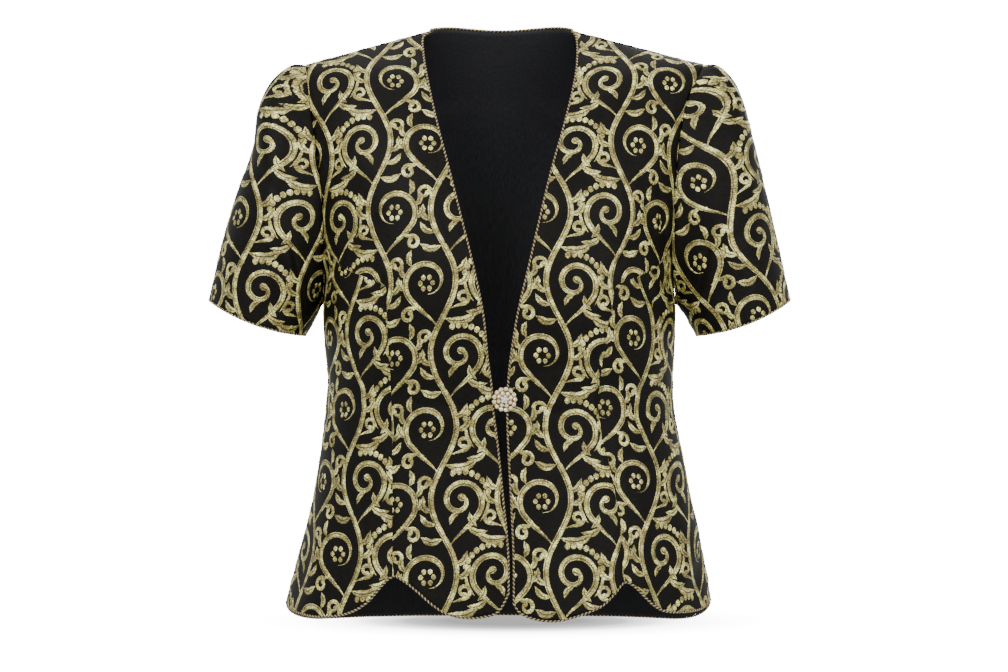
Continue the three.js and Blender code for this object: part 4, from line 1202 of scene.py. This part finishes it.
def stageFloor():
    material, tree, shader = newMaterial("white floor with painted shadow", color=(0.01, 0.01, 0.01), rough=0.8, gloss=0.0)
    fromShadow = addNode(tree, "ShaderNodeVectorMath", operation="SUBTRACT")
    plug(tree, fromShadow.inputs[0], objectPlace(tree))
    plug(tree, fromShadow.inputs[1], stage["shadowAt"])
    wide, deep = stage["shadowHalf"]
    oval = stretched(tree, fromShadow.outputs[0], (1 / wide, 1 / deep, 0.0))
    reach = addNode(tree, "ShaderNodeVectorMath", operation="LENGTH")
    plug(tree, reach.inputs[0], oval)
    # painted shadow: the floor's glow is darkest at the oval's centre under the hem and full white beyond it
    glowWithPaintedShadow = ramp(tree, math2(tree, "MULTIPLY", reach.outputs["Value"], 0.5), stage["shadow"])
    plug(tree, shader.inputs["Emission Color"], glowWithPaintedShadow)
    plug(tree, shader.inputs["Emission Strength"], stage["white"])
    bm = bmesh.new()
    bmesh.ops.create_grid(bm, x_segments=1, y_segments=1, size=stage["floorHalf"])
    bmesh.ops.translate(bm, verts=bm.verts, vec=(0, 0, stage["floorZ"]))
    mesh = meshOf(bm, "floor")
    mesh.materials.append(material)
    floor = bpy.data.objects.new("floor", mesh)
    bpy.context.scene.collection.objects.link(floor)
    floor.visible_diffuse = False  # the bright floor is seen but doesn't light the cloth
    floor.visible_glossy = False


def areaLight(name, place, size, power):
    light = bpy.data.lights.new(name, "AREA")
    light.size = size
    light.energy = power
    lamp = bpy.data.objects.new(name, light)
    lamp.location = place
    look = Vector(stage["lampsLookAt"]) - Vector(place)
    lamp.rotation_euler = look.to_track_quat("-Z", "Y").to_euler()
    bpy.context.scene.collection.objects.link(lamp)


def studio():
    world = bpy.data.worlds.new("studio")
    bpy.context.scene.world = world
    world.use_nodes = True
    tree = world.node_tree
    soft = tree.nodes["Background"]  # lights the cloth
    plug(tree, soft.inputs["Color"], (1, 1, 1))
    plug(tree, soft.inputs["Strength"], stage["ambient"])
    sweep = addNode(tree, "ShaderNodeBackground", Color=(1, 1, 1), Strength=stage["white"])  # seen behind it
    both = tree.nodes.new("ShaderNodeMixShader")
    plug(tree, both.inputs[0], addNode(tree, "ShaderNodeLightPath").outputs["Is Camera Ray"])
    plug(tree, both.inputs[1], soft.outputs[0])
    plug(tree, both.inputs[2], sweep.outputs[0])
    plug(tree, tree.nodes["World Output"].inputs["Surface"], both.outputs[0])
    for lamp in stage["lamps"]:
        areaLight(**lamp)


print("setting the floor, lights and camera")
stageFloor()
studio()
cameraData = bpy.data.cameras.new("camera")
cameraData.sensor_width = stage["sensor"]
cameraData.lens = stage["lens"]
camera = bpy.data.objects.new("camera", cameraData)
camera.location = stage["camera"]
camera.rotation_euler = (math.pi / 2, 0, 0)
bpy.context.scene.collection.objects.link(camera)
bpy.context.scene.camera = camera

print("finished")
